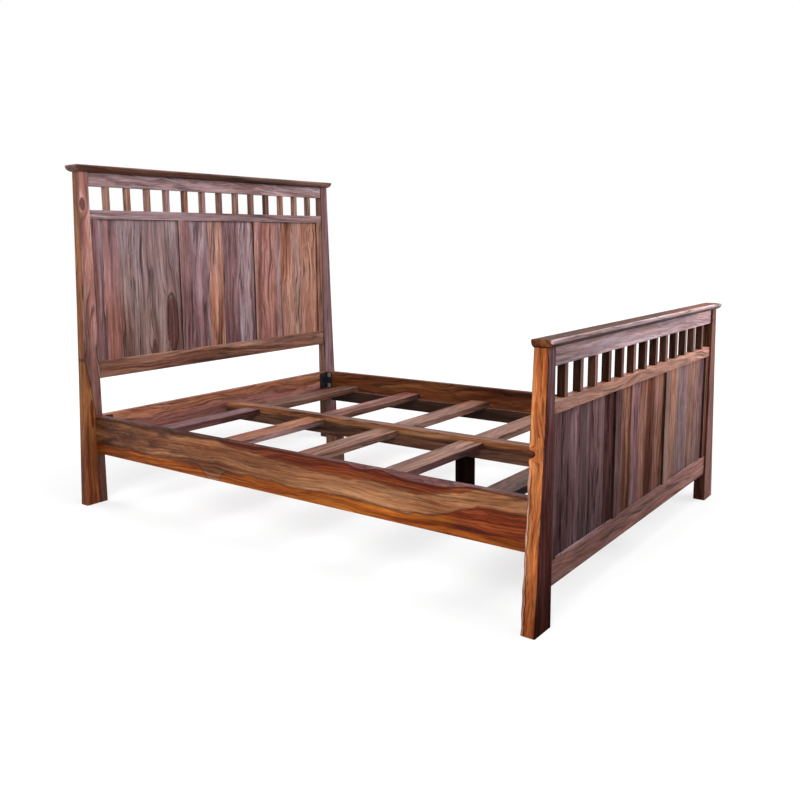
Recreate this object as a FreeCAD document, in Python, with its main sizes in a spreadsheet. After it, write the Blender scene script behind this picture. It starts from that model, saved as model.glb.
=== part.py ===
import FreeCAD, Part
import math
import os
import Sketcher

# Slatted wooden bed of a queen mattress size, with panelled head and foot boards.
# X runs across the bed, +Y points to the head, +Z is up.
# The origin is on the floor, at the middle of the bed.

DOC = FreeCAD.newDocument("wooden_bed")
SHEET = DOC.addObject("Spreadsheet::Sheet", "sizes")
SHEET.Label = "sizes"

SIZES = [
    ("bay_length", 2080, "between the head posts and the foot posts"),
    ("clear_width", 1495, "between the left and the right post"),
    ("post_depth", 48, "post, along the bed"),
    ("post_floor_width", 103, "post at the floor, across the bed"),
    ("post_arris", 2.5, "chamfer on a post's long edges"),
    ("head_post_height", 1422, "floor to the underside of the head cap"),
    ("head_post_top_width", 45, "head post under its cap"),
    ("head_post_hollow", 3.5, "how far the outer edge of a head post is hollowed"),
    ("foot_post_height", 820, "floor to the underside of the foot cap"),
    ("foot_post_top_width", 42, "foot post under its cap"),
    ("foot_post_hollow", 1.5, "how far the outer edge of a foot post is hollowed"),
    ("head_cap_thick", 28, "head cap board"),
    ("head_cap_inward", 18, "head cap past the posts, towards the bed"),
    ("head_cap_outward", 18, "head cap past the posts, away from the bed"),
    ("head_cap_end_overhang", 19, "head cap past the posts' outer edges"),
    ("foot_cap_thick", 24, "foot cap board"),
    ("foot_cap_inward", 2.5, "foot cap past the posts, towards the bed"),
    ("foot_cap_outward", 17, "foot cap past the posts, away from the bed"),
    ("foot_cap_end_overhang", 12, "foot cap past the posts' outer edges"),
    ("cap_lip", 0.5, "flat left under a cap between its rounding and the post"),
    ("cap_edge", 1, "upright part of a cap's edge between its two roundings"),
    ("cap_top_radius", 4, "rounding of a cap's upper edges"),
    ("frame_thick", 30, "rails and stiles of both boards"),
    ("frame_arris", 1.5, "chamfer on their long edges"),
    ("head_bottom_rail_low", 546, "floor to the head bottom rail"),
    ("head_bottom_rail_height", 75.5, "head bottom rail"),
    ("head_middle_rail_low", 1228, "floor to the head middle rail"),
    ("head_middle_rail_height", 38.5, "head middle rail"),
    ("head_top_rail_height", 57, "head top rail, under the cap"),
    ("foot_bottom_rail_low", 115, "floor to the foot bottom rail"),
    ("foot_bottom_rail_height", 79, "foot bottom rail"),
    ("foot_middle_rail_low", 624.5, "floor to the foot middle rail"),
    ("foot_middle_rail_height", 39, "foot middle rail"),
    ("foot_top_rail_height", 57, "foot top rail, under the cap"),
    ("outer_stile_width", 40, "stile against a post"),
    ("inner_stile_width", 52, "stile between two panels"),
    ("panel_thick", 14, "glued-up panel"),
    ("groove_depth", 10, "panel groove in rails and stiles"),
    ("panel_play", 2, "room for a panel to swell, at the bottom of its groove"),
    ("joint_play", 0.25, "clearance on each side of a joint"),
    ("tenon_thick", 12, "rail tenon"),
    ("tenon_length", 28, "rail tenon"),
    ("tenon_shoulder", 6, "rail above and below its tenon"),
    ("spindle_width", 22.6, "spindle, across the bed"),
    ("spindle_depth", 24, "spindle, along the bed"),
    ("spindle_count", 13, "spindles in a board, a plain count"),
    ("spindle_tongue", 8, "stub tongue of a spindle"),
    ("spindle_shoulder", 4, "spindle round its tongue"),
    ("cap_tongue", 12, "stub tongue on top of a post"),
    ("cap_tongue_shoulder", 9, "post round its tongue"),
    ("side_rail_inset", 10.5, "post's inner edge to the side rail's inner face"),
    ("side_rail_thick", 28, "side rail"),
    ("side_rail_low", 223, "floor to the side rail"),
    ("side_rail_height", 165, "side rail and cross rails"),
    ("side_rail_tongue", 14, "stub tongue on a side rail's end"),
    ("side_rail_shoulder", 24, "side rail above and below its tongue"),
    ("side_rail_round", 4, "rounding of a side rail's top edges"),
    ("wane_length", 325, "long stretch of live edge on the left side rail"),
    ("wane_drop", 18, "long live edge, down the rail's outer face"),
    ("wane_place", 668, "long live edge's middle, from the bed's middle towards the foot"),
    ("little_wane_length", 112, "short stretch of live edge"),
    ("little_wane_drop", 9, "short live edge, down the rail's outer face"),
    ("little_wane_place", 421, "short live edge's middle, from the bed's middle"),
    ("wane_run_out", 1, "how low a live edge still is at the rail's inner face"),
    ("cross_rail_thick", 22, "cross rails at the head and the foot"),
    ("tongue_wall", 4.5, "post left between the side rail's tongue and the cross rail's"),
    ("slat_seat", 292, "floor to the underside of the slats"),
    ("slat_thick", 26, "slat"),
    ("slat_width", 100, "slat"),
    ("slat_count", 5, "slats on each side of the centre rail, a plain count"),
    ("slat_shift", 22, "middle slat, from the bed's middle towards the head"),
    ("slat_play", 1.5, "room at a slat's end"),
    ("slat_round", 3, "rounding of a slat's upper edges"),
    ("side_ledger_thick", 30, "ledger on a side rail"),
    ("side_ledger_height", 63, "ledger on a side rail"),
    ("side_ledger_gap", 60, "ledger's end to the post"),
    ("centre_rail_width", 45, "centre rail"),
    ("centre_rail_low", 250, "floor to the centre rail"),
    ("centre_rail_height", 82.5, "centre rail"),
    ("housing_depth", 10, "centre rail's end in a cross rail"),
    ("centre_ledger_thick", 20, "strip on the centre rail"),
    ("centre_ledger_height", 35, "strip on the centre rail"),
    ("leg_square", 60, "centre leg"),
    ("leg_count", 2, "centre legs, a plain count"),
    ("leg_tongue", 30, "centre leg's tongue in the centre rail"),
    ("leg_tongue_width", 20, "centre leg's tongue, across the bed"),
    ("leg_shoulder", 12, "centre leg, each side of its tongue along the bed"),
    ("steel_thick", 3, "steel angles"),
    ("corner_rail_leaf", 40, "corner bracket's leaf on the side rail"),
    ("corner_cross_leaf", 60, "corner bracket's leaf on the cross rail"),
    ("corner_low", 294, "floor to a corner bracket"),
    ("corner_height", 88, "corner bracket"),
    ("corner_round", 6, "rounding of a corner bracket's free corners"),
    ("corner_hole_spacing", 58, "between the two holes of a leaf"),
    ("bolt_offset", 24, "bracket's corner to its bolt holes"),
    ("screw_offset", 40, "bracket's corner to its screw holes"),
    ("bolt_radius", 4, "corner bolt's shank"),
    ("bolt_length", 20, "corner bolt in the side rail"),
    ("bolt_head_square", 21, "corner bolt's square head"),
    ("bolt_head_height", 5, "corner bolt's square head"),
    ("screw_radius", 2.5, "wood screw's shank"),
    ("screw_length", 15, "wood screw in the wood"),
    ("screw_head_radius", 5.5, "wood screw's round head"),
    ("screw_head_height", 3, "wood screw's round head"),
    ("leg_bracket_leaf", 38, "centre leg bracket's leaf"),
    ("leg_bracket_width", 40, "centre leg bracket, across the bed"),
    ("leg_bracket_hole_spacing", 22, "between the holes of a leaf"),
    ("leg_bracket_hole_offset", 22, "bracket's corner to its holes"),
    ("leg_bracket_round", 5, "rounding of a leg bracket's free corners"),
    ("overrun", 5, "how far a cut runs past what it cuts"),
]


class Size:
    """A length with its formula: the number places a first sketch, the formula drives it."""

    def __init__(self, number, formula):
        self.number = number
        self.formula = formula

    def __add__(self, other):
        return Size(self.number + other.number, "(%s + %s)" % (self.formula, other.formula))

    def __sub__(self, other):
        return Size(self.number - other.number, "(%s - %s)" % (self.formula, other.formula))

    def __mul__(self, count):
        if isinstance(count, Size):
            return Size(self.number * count.number,
                        "(%s * %s)" % (self.formula, count.formula))
        return Size(self.number * count, "(%s * %d)" % (self.formula, count))

    def __truediv__(self, count):
        if isinstance(count, Size):
            return Size(self.number / count.number,
                        "(%s / %s)" % (self.formula, count.formula))
        return Size(self.number / count, "(%s / %d)" % (self.formula, count))

    def __neg__(self):
        return Size(-self.number, "(0 - %s)" % self.formula)


def fill_sheet():
    """Write every driving size to the sheet and return them by name."""
    sizes = {}
    for row, (name, number, meaning) in enumerate(SIZES, start=1):
        SHEET.set("A%d" % row, name)
        SHEET.set("B%d" % row, str(number))
        SHEET.set("C%d" % row, meaning)
        SHEET.setAlias("B%d" % row, name)
        sizes[name] = Size(number, "<<sizes>>.%s" % name)
    DOC.recompute()
    return sizes


S = fill_sheet()
PIECES = []

# How near counts as the same direction, and as the same place in mm
SAME_DIRECTION = 0.01
SAME_PLACE = 0.001

# Sizes that follow from the driving ones
ONE = Size(1, "1")
HALF_CLEAR = S["clear_width"] / 2
HALF_BAY = S["bay_length"] / 2
POST_MIDDLE = HALF_BAY + S["post_depth"] / 2
GROOVE_WIDTH = S["panel_thick"] + S["joint_play"] * 2
PANEL_TONGUE = S["groove_depth"] - S["panel_play"]
PANEL_WIDTH = (S["clear_width"] - S["outer_stile_width"] * 2 - S["inner_stile_width"] * 2) / 3
SPINDLE_PITCH = (S["clear_width"] + S["spindle_width"]) / (S["spindle_count"] + ONE)
SPINDLE_REACH = SPINDLE_PITCH * (S["spindle_count"] - ONE)
FOOT_CROSS_PROUD = S["cross_rail_thick"] - (S["post_depth"] - S["frame_thick"]) / 2
CROSS_MIDDLE = FOOT_CROSS_PROUD / 2
CROSS_SPAN = S["bay_length"] - FOOT_CROSS_PROUD
SIDE_RAIL_INNER = HALF_CLEAR + S["side_rail_inset"]
CROSS_TONGUE = S["side_rail_inset"] + S["tenon_shoulder"] - S["joint_play"] - S["tongue_wall"]
SLAT_PITCH = S["bay_length"] / S["slat_count"]
LEG_PITCH = S["bay_length"] / (S["leg_count"] + ONE)
CORNER_HOLE_RISE = (S["corner_height"] - S["corner_hole_spacing"]) / 2
CORNER_MIDDLE = S["corner_low"] + S["corner_height"] / 2


def add_body(name, x=None, y=None, z=None):
    """Start a piece at its place; an axis that isn't given stays at zero."""
    body = DOC.addObject("PartDesign::Body", name)
    body.Label = name
    for axis, place in (("x", x), ("y", y), ("z", z)):
        if place is not None:
            body.setExpression("Placement.Base.%s" % axis, place.formula)
    return body


def add_sketch(body, role, name, offset=None):
    """Attach a sketch to one of the body's origin planes, shifted along its normal."""
    sketch = body.newObject("Sketcher::SketchObject", name)
    plane = [item for item in body.Origin.OriginFeatures if item.Role == role][0]
    sketch.AttachmentSupport = [(plane, "")]
    sketch.MapMode = "FlatFace"
    if offset is not None:
        sketch.AttachmentOffset = FreeCAD.Placement(
            FreeCAD.Vector(0, 0, offset.number), FreeCAD.Rotation())
        sketch.setExpression("AttachmentOffset.Base.z", offset.formula)
    return sketch


def locate(sketch, direction, edge, end, place):
    """Hold one end of an edge at a signed distance from the sketch's origin."""
    if isinstance(place, int):
        axis = -2 if direction == "DistanceX" else -1
        sketch.addConstraint(Sketcher.Constraint("PointOnObject", edge, end, axis))
        return
    index = sketch.addConstraint(
        Sketcher.Constraint(direction, -1, 1, edge, end, place.number))
    sketch.setExpression("Constraints[%d]" % index, place.formula)


def vector_at(place):
    """A sketch point from a pair of sizes, in which a plain 0 may stand for no size."""
    return FreeCAD.Vector(*(0 if size == 0 else size.number for size in place), 0)


def close_and_locate(sketch, first, ends):
    """Join each edge's end to the next edge's start and hold it in its place."""
    for index, (x, y) in enumerate(ends):
        after = first + (index + 1) % len(ends)
        sketch.addConstraint(Sketcher.Constraint("Coincident", first + index, 2, after, 1))
        locate(sketch, "DistanceX", first + index, 2, x)
        locate(sketch, "DistanceY", first + index, 2, y)


def add_outline(sketch, corners):
    """Draw a closed outline of straight edges through the corners."""
    first = sketch.GeometryCount
    ends = corners[1:] + corners[:1]
    for here, there in zip(corners, ends):
        sketch.addGeometry(Part.LineSegment(vector_at(here), vector_at(there)), False)
    close_and_locate(sketch, first, ends)


def add_arc_outline(sketch, start, bulge, end, corners, radius):
    """Draw an arc, anticlockwise over its bulge, and straight edges back to its start."""
    first = sketch.GeometryCount
    sketch.addGeometry(Part.Arc(vector_at(start), bulge, vector_at(end)), False)
    ends = [end, *corners, start]
    for here, there in zip(ends, ends[1:]):
        sketch.addGeometry(Part.LineSegment(vector_at(here), vector_at(there)), False)
    close_and_locate(sketch, first, ends)
    hold = sketch.addConstraint(Sketcher.Constraint("Radius", first, radius.number))
    sketch.setExpression("Constraints[%d]" % hold, radius.formula)


def add_rectangle(sketch, left, right, low, high):
    add_outline(sketch, [(left, low), (right, low), (right, high), (left, high)])


def add_circle(sketch, x, y, radius):
    index = sketch.addGeometry(Part.Circle(
        vector_at((x, y)),
        FreeCAD.Vector(0, 0, 1), radius.number), False)
    locate(sketch, "DistanceX", index, 3, x)
    locate(sketch, "DistanceY", index, 3, y)
    hold = sketch.addConstraint(Sketcher.Constraint("Radius", index, radius.number))
    sketch.setExpression("Constraints[%d]" % hold, radius.formula)


def add_pad(body, sketch, length, name, both_ways=False, backwards=False):
    pad = body.newObject("PartDesign::Pad", name)
    pad.Profile = sketch
    pad.setExpression("Length", length.formula)
    pad.SideType = "Symmetric" if both_ways else "One side"
    pad.Reversed = backwards
    DOC.recompute()
    return pad


def add_pocket(body, sketch, depth, name, both_ways=False, backwards=False):
    """Cut a pocket and stop if it takes nothing away."""
    before = body.Shape.Volume
    pocket = body.newObject("PartDesign::Pocket", name)
    pocket.Profile = sketch
    pocket.setExpression("Length", depth.formula)
    pocket.SideType = "Symmetric" if both_ways else "One side"
    pocket.Reversed = backwards
    DOC.recompute()
    if pocket.Shape.Volume >= before:
        raise RuntimeError("%s cuts nothing" % name)
    return pocket


def straight_edges(feature, axis):
    """Names of the edges that run along one axis, curved ones in its direction too."""
    names = []
    for index, edge in enumerate(feature.Shape.Edges, start=1):
        ends = [vertex.Point for vertex in edge.Vertexes]
        if len(ends) != 2:
            continue
        run = (ends[1] - ends[0]).normalize()
        if abs(abs(run.dot(axis)) - 1) < SAME_DIRECTION:
            names.append("Edge%d" % index)
    return names


def edges_at_height(feature, height):
    """Names of the edges that lie flat at one height in the body's own frame."""
    names = []
    for index, edge in enumerate(feature.Shape.Edges, start=1):
        if abs(edge.BoundBox.ZMin - height) + abs(edge.BoundBox.ZMax - height) < SAME_PLACE:
            names.append("Edge%d" % index)
    return names


def short_edges_at(feature, axis, place):
    """Names of the edges as long as the steel is thick, at one place along an axis."""
    names = []
    for index, edge in enumerate(feature.Shape.Edges, start=1):
        ends = [getattr(vertex.Point, axis) for vertex in edge.Vertexes]
        at_place = max(abs(end - place.number) for end in ends) < SAME_PLACE
        if at_place and abs(edge.Length - S["steel_thick"].number) < SAME_PLACE:
            names.append("Edge%d" % index)
    return names


def dress_edges(body, kind, feature, edges, size, name):
    dressed = body.newObject(kind, name)
    dressed.Base = (feature, edges)
    dressed.setExpression("Size" if kind.endswith("Chamfer") else "Radius", size.formula)
    DOC.recompute()
    return dressed


def chamfer_along(body, feature, axis, size):
    return dress_edges(
        body, "PartDesign::Chamfer", feature, straight_edges(feature, axis), size, "arrises")


def finish(body):
    PIECES.append(body)
    return body


def mirror(source, name, normal, base_y=None):
    """The same piece for the other side of the bed."""
    twin = DOC.addObject("Part::Mirroring", name)
    twin.Label = name
    twin.Source = source
    twin.Normal = normal
    if base_y is not None:
        twin.setExpression("Base.y", base_y.formula)
    return finish(twin)


ALONG_X = FreeCAD.Vector(1, 0, 0)
ALONG_Y = FreeCAD.Vector(0, 1, 0)
ALONG_Z = FreeCAD.Vector(0, 0, 1)


class Board:
    """The heights of one board, head or foot, and the side on which it stands."""

    def __init__(self, name, towards_head):
        self.name = name
        self.towards_head = towards_head
        self.post_height = S[name + "_post_height"]
        self.top_width = S[name + "_post_top_width"]
        self.hollow = S[name + "_post_hollow"]
        self.cap_thick = S[name + "_cap_thick"]
        self.cap_inward = S[name + "_cap_inward"]
        self.cap_outward = S[name + "_cap_outward"]
        self.cap_end_overhang = S[name + "_cap_end_overhang"]
        self.bottom_low = S[name + "_bottom_rail_low"]
        self.bottom_height = S[name + "_bottom_rail_height"]
        self.middle_low = S[name + "_middle_rail_low"]
        self.middle_height = S[name + "_middle_rail_height"]
        self.top_height = S[name + "_top_rail_height"]
        self.top_low = self.post_height - self.top_height
        self.panel_low = self.bottom_low + self.bottom_height
        self.panel_height = self.middle_low - self.panel_low
        self.spindle_low = self.middle_low + self.middle_height
        self.spindle_height = self.top_low - self.spindle_low
        self.y = POST_MIDDLE if towards_head else -POST_MIDDLE

    def piece(self, part_name):
        return "%sboard_%s" % (self.name, part_name)


# Each rail's tenon leaves a shoulder, wider where the rail is grooved or mortised.
GROOVED_SHOULDER = S["groove_depth"] + S["panel_play"]


def tenon_heights(board, rail):
    """Where a rail's tenon begins and ends above the floor."""
    if rail == "bottom":
        return (board.bottom_low + S["tenon_shoulder"],
                board.panel_low - GROOVED_SHOULDER)
    if rail == "middle":
        return (board.middle_low + GROOVED_SHOULDER,
                board.spindle_low - S["tenon_shoulder"])
    return (board.top_low + S["tenon_shoulder"],
            board.post_height - S["tenon_shoulder"])


def post_profile(body, board):
    """The post seen from the front: straight inner edge, hollow tapering outer edge."""
    sketch = add_sketch(body, "XZ_Plane", "profile")
    floor = S["post_floor_width"]
    top = board.top_width
    height = board.post_height
    waist = vector_at((board.hollow - (top + floor) / 2, height / 2))
    taper = floor - top
    chord_square = height * height + taper * taper
    radius = chord_square / (board.hollow * 8) + board.hollow / 2
    add_arc_outline(sketch, (-floor, 0), waist, (-top, height), [(0, height), (0, 0)], radius)
    return sketch


def make_posts(board):
    """A post: profile, cap tongue, mortises for the rails, pocket for the side rail."""
    body = add_body(board.piece("post_left"), x=-HALF_CLEAR, y=board.y)
    pad = add_pad(body, post_profile(body, board), S["post_depth"], "blank", both_ways=True)
    chamfer_along(body, pad, ALONG_Z, S["post_arris"])

    tongue = add_sketch(body, "XZ_Plane", "cap_tongue")
    shoulder = S["cap_tongue_shoulder"]
    add_rectangle(tongue, shoulder - board.top_width, -shoulder,
                  board.post_height - S["overrun"], board.post_height + S["cap_tongue"])
    add_pad(body, tongue, S["post_depth"] - shoulder * 2, "cap_tongue_pad", both_ways=True)

    play = S["joint_play"]
    half_tenon = S["tenon_thick"] / 2 + play
    mortises = add_sketch(body, "YZ_Plane", "rail_mortises")
    for rail in ("bottom", "middle", "top"):
        low, high = tenon_heights(board, rail)
        add_rectangle(mortises, -half_tenon, half_tenon, low - play, high + play)
    add_pocket(body, mortises, S["tenon_length"] + play * 2, "rail_mortise_cut")
    if board.towards_head:
        cross = add_sketch(body, "YZ_Plane", "cross_mortise")
        middle = (S["cross_rail_thick"] - S["post_depth"]) / 2
        add_rectangle(cross, middle - half_tenon, middle + half_tenon,
                      S["side_rail_low"] + S["tenon_shoulder"] - play,
                      S["side_rail_low"] + S["side_rail_height"] - S["tenon_shoulder"] + play)
        add_pocket(body, cross, CROSS_TONGUE + play * 2, "cross_mortise_cut")

    offset = S["post_depth"] / 2 if board.towards_head else -(S["post_depth"] / 2)
    rail_end = add_sketch(body, "XZ_Plane", "side_rail_mortise", offset)
    inset = S["side_rail_inset"]
    add_rectangle(rail_end,
                  -(inset + S["side_rail_thick"] - S["tenon_shoulder"] + play),
                  -(inset + S["tenon_shoulder"] - play),
                  S["side_rail_low"] + S["side_rail_shoulder"] - play,
                  S["side_rail_low"] + S["side_rail_height"] - S["side_rail_shoulder"] + play)
    add_pocket(body, rail_end, S["side_rail_tongue"] + play * 2, "side_rail_mortise_cut",
               backwards=not board.towards_head)
    finish(body)
    mirror(body, board.piece("post_right"), ALONG_X)


def cut_under_edges(body, board, role, low_edge, high_edge, width):
    """Round off two opposite edges below, each with an arc from its face in to the post.

    An edge is its distance from the body's middle and how far it stands out."""
    height = board.cap_thick - S["cap_top_radius"] - S["cap_edge"]
    sketch = add_sketch(body, role, "under_edges_" + role[:2].lower())
    for (tip, overhang), side in ((low_edge, -1), (high_edge, 1)):
        run = overhang - S["cap_lip"]
        radius = (run * run + height * height) / (run * 2)
        sag = radius.number - math.hypot(radius.number - run.number / 2, height.number / 2)
        lean = math.atan2(run.number, height.number)
        middle = FreeCAD.Vector(
            side * (tip.number - run.number / 2 + sag * math.cos(lean)),
            height.number / 2 - sag * math.sin(lean), 0)
        if side > 0:
            add_arc_outline(sketch, (tip - run, 0), middle, (tip, height),
                            [(tip + S["overrun"], height), (tip + S["overrun"], 0)], radius)
        else:
            add_arc_outline(sketch, (-tip, height), middle, (run - tip, 0),
                            [(-tip - S["overrun"], 0), (-tip - S["overrun"], height)], radius)
    add_pocket(body, sketch, width, "under_edge_cut_" + role[:2].lower(), both_ways=True)


def make_cap(board):
    """Cap board: rounded above and below, mortised over the posts' tongues."""
    body = add_body(board.piece("cap"), y=board.y, z=board.post_height)
    half_length = HALF_CLEAR + board.top_width + board.cap_end_overhang
    towards_foot = board.cap_inward if board.towards_head else board.cap_outward
    towards_head = board.cap_outward if board.towards_head else board.cap_inward
    foot_edge = S["post_depth"] / 2 + towards_foot
    head_edge = S["post_depth"] / 2 + towards_head
    plan = add_sketch(body, "XY_Plane", "plan")
    add_rectangle(plan, -half_length, half_length, -foot_edge, head_edge)
    pad = add_pad(body, plan, board.cap_thick, "blank")
    dress_edges(body, "PartDesign::Fillet", pad,
                edges_at_height(pad, board.cap_thick.number),
                S["cap_top_radius"], "upper_rounding")
    end = (half_length, board.cap_end_overhang)
    cut_under_edges(body, board, "XZ_Plane", end, end, (foot_edge + head_edge) * 2)
    cut_under_edges(body, board, "YZ_Plane", (foot_edge, towards_foot),
                    (head_edge, towards_head), half_length * 2 + S["overrun"] * 2)
    tongues = add_sketch(body, "XY_Plane", "post_mortises")
    shoulder = S["cap_tongue_shoulder"] - S["joint_play"]
    near = HALF_CLEAR + shoulder
    far = HALF_CLEAR + board.top_width - shoulder
    half_tongue = S["post_depth"] / 2 - shoulder
    add_rectangle(tongues, near, far, -half_tongue, half_tongue)
    add_rectangle(tongues, -far, -near, -half_tongue, half_tongue)
    add_pocket(body, tongues, S["cap_tongue"] + S["joint_play"] * 2, "post_mortise_cut",
               backwards=True)
    finish(body)


def rail_section(body, height, groove_at):
    """Section of a board rail, grooved for the panels on one edge or on none."""
    half = S["frame_thick"] / 2
    groove = GROOVE_WIDTH / 2
    sketch = add_sketch(body, "YZ_Plane", "section")
    if groove_at == "high":
        bed = height - S["groove_depth"]
        add_outline(sketch, [(-half, 0), (half, 0), (half, height), (groove, height),
                             (groove, bed), (-groove, bed), (-groove, height),
                             (-half, height)])
    elif groove_at == "low":
        bed = S["groove_depth"]
        add_outline(sketch, [(-half, 0), (-groove, 0), (-groove, bed), (groove, bed),
                             (groove, 0), (half, 0), (half, height), (-half, height)])
    else:
        add_rectangle(sketch, -half, half, 0, height)
    return sketch


def cut_spindle_mortises(body, height, backwards):
    """One mortise, repeated along the rail for every spindle."""
    play = S["joint_play"]
    half_width = S["spindle_width"] / 2 - S["spindle_shoulder"] + play
    half_depth = S["spindle_depth"] / 2 - S["spindle_shoulder"] + play
    first = -(SPINDLE_REACH / 2)
    sketch = add_sketch(body, "XY_Plane", "spindle_mortise", height)
    add_rectangle(sketch, first - half_width, first + half_width, -half_depth, half_depth)
    pocket = add_pocket(body, sketch, S["spindle_tongue"] + play * 2, "spindle_mortise_cut",
                        backwards=backwards)
    repeat_spindles(body, [pocket])


def repeat_spindles(body, features):
    pattern = body.newObject("PartDesign::LinearPattern", "spindle_row")
    pattern.Originals = features
    x_axis = [item for item in body.Origin.OriginFeatures if item.Role == "X_Axis"][0]
    pattern.Direction = (x_axis, [""])
    pattern.setExpression("Length", SPINDLE_REACH.formula)
    pattern.setExpression("Occurrences", S["spindle_count"].formula)
    body.Tip = pattern
    DOC.recompute()


def make_rail(board, rail):
    """A rail of a board, tenoned into both posts."""
    low = {"bottom": board.bottom_low, "middle": board.middle_low, "top": board.top_low}[rail]
    height = {"bottom": board.bottom_height, "middle": board.middle_height,
              "top": board.top_height}[rail]
    groove_at = {"bottom": "high", "middle": "low", "top": "none"}[rail]
    body = add_body(board.piece(rail + "_rail"), y=board.y, z=low)
    pad = add_pad(body, rail_section(body, height, groove_at), S["clear_width"], "blank",
                  both_ways=True)
    chamfer_outer_arrises(body, pad, height)
    tenon = add_sketch(body, "YZ_Plane", "tenon")
    half_tenon = S["tenon_thick"] / 2
    begins, ends = tenon_heights(board, rail)
    add_rectangle(tenon, -half_tenon, half_tenon, begins - low, ends - low)
    add_pad(body, tenon, S["clear_width"] + S["tenon_length"] * 2, "tenons", both_ways=True)
    if rail == "middle":
        cut_spindle_mortises(body, height, backwards=False)
    if rail == "top":
        cut_spindle_mortises(body, None, backwards=True)
    finish(body)


def chamfer_outer_arrises(body, feature, height):
    """Chamfer the four long corners of a rail, and leave its groove sharp."""
    half = S["frame_thick"].number / 2
    names = []
    for name in straight_edges(feature, ALONG_X):
        point = feature.Shape.getElement(name).Vertexes[0].Point
        at_face = abs(abs(point.y) - half) < SAME_PLACE
        at_edge = min(abs(point.z), abs(point.z - height.number)) < SAME_PLACE
        if at_face and at_edge:
            names.append(name)
    dress_edges(body, "PartDesign::Chamfer", feature, names, S["frame_arris"], "arrises")


def add_stile_tongue(body, board, left, right):
    """Stub tongues above and below a stile, as thick as the panel groove."""
    reach = PANEL_TONGUE
    sketch = add_sketch(body, "XY_Plane", "tongue", -reach)
    half = S["panel_thick"] / 2
    add_rectangle(sketch, left, right, -half, half)
    add_pad(body, sketch, board.panel_height + reach * 2, "tongues")


def make_outer_stiles(board):
    """Stile against a post, grooved on its panel side."""
    body = add_body(board.piece("outer_stile_left"), x=-HALF_CLEAR, y=board.y,
                    z=board.panel_low)
    half = S["frame_thick"] / 2
    groove = GROOVE_WIDTH / 2
    width = S["outer_stile_width"]
    bed = width - S["groove_depth"]
    section = add_sketch(body, "XY_Plane", "section")
    add_outline(section, [(0, -half), (width, -half), (width, -groove), (bed, -groove),
                          (bed, groove), (width, groove), (width, half), (0, half)])
    add_pad(body, section, board.panel_height, "blank")
    add_stile_tongue(body, board, S["joint_play"], bed)
    finish(body)
    mirror(body, board.piece("outer_stile_right"), ALONG_X)


def make_inner_stiles(board):
    """Stile between two panels, grooved on both sides."""
    half_width = S["inner_stile_width"] / 2
    body = add_body(board.piece("inner_stile_left"), x=-(PANEL_WIDTH / 2 + half_width),
                    y=board.y, z=board.panel_low)
    half = S["frame_thick"] / 2
    groove = GROOVE_WIDTH / 2
    bed = half_width - S["groove_depth"]
    section = add_sketch(body, "XY_Plane", "section")
    add_outline(section, [(-half_width, -half), (half_width, -half), (half_width, -groove),
                          (bed, -groove), (bed, groove), (half_width, groove),
                          (half_width, half), (-half_width, half), (-half_width, groove),
                          (-bed, groove), (-bed, -groove), (-half_width, -groove)])
    add_pad(body, section, board.panel_height, "blank")
    add_stile_tongue(body, board, -bed, bed)
    finish(body)
    mirror(body, board.piece("inner_stile_right"), ALONG_X)


def make_panels(board):
    """Three loose panels, their edges in the grooves all round."""
    pitch = PANEL_WIDTH + S["inner_stile_width"]
    half = PANEL_WIDTH / 2 + PANEL_TONGUE
    for side, x in (("left", -pitch), ("middle", None), ("right", pitch)):
        body = add_body(board.piece("panel_" + side), x=x, y=board.y, z=board.panel_low)
        face = add_sketch(body, "XZ_Plane", "face")
        add_rectangle(face, -half, half, -PANEL_TONGUE, board.panel_height + PANEL_TONGUE)
        add_pad(body, face, S["panel_thick"], "blank", both_ways=True)
        finish(body)


def make_spindles(board):
    """The row of square spindles, each with a stub tongue at both ends."""
    body = add_body(board.piece("spindles"), y=board.y, z=board.spindle_low)
    body.AllowCompound = True
    first = -(SPINDLE_REACH / 2)
    half_width = S["spindle_width"] / 2
    half_depth = S["spindle_depth"] / 2
    shoulder = S["spindle_shoulder"]
    section = add_sketch(body, "XY_Plane", "section")
    add_rectangle(section, first - half_width, first + half_width, -half_depth, half_depth)
    shaft = add_pad(body, section, board.spindle_height, "shaft")
    tongue = add_sketch(body, "XY_Plane", "tongue", -S["spindle_tongue"])
    add_rectangle(tongue, first - half_width + shoulder, first + half_width - shoulder,
                  shoulder - half_depth, half_depth - shoulder)
    ends = add_pad(body, tongue, board.spindle_height + S["spindle_tongue"] * 2, "tongues")
    repeat_spindles(body, [shaft, ends])
    finish(body)


def make_board(board):
    make_posts(board)
    make_cap(board)
    for rail in ("bottom", "middle", "top"):
        make_rail(board, rail)
    make_outer_stiles(board)
    make_inner_stiles(board)
    make_panels(board)
    make_spindles(board)


def hole_heights(low):
    """Heights of a corner bracket's two holes above a piece's own zero."""
    first = S["corner_low"] + CORNER_HOLE_RISE - low
    return (first, first + S["corner_hole_spacing"])


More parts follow.
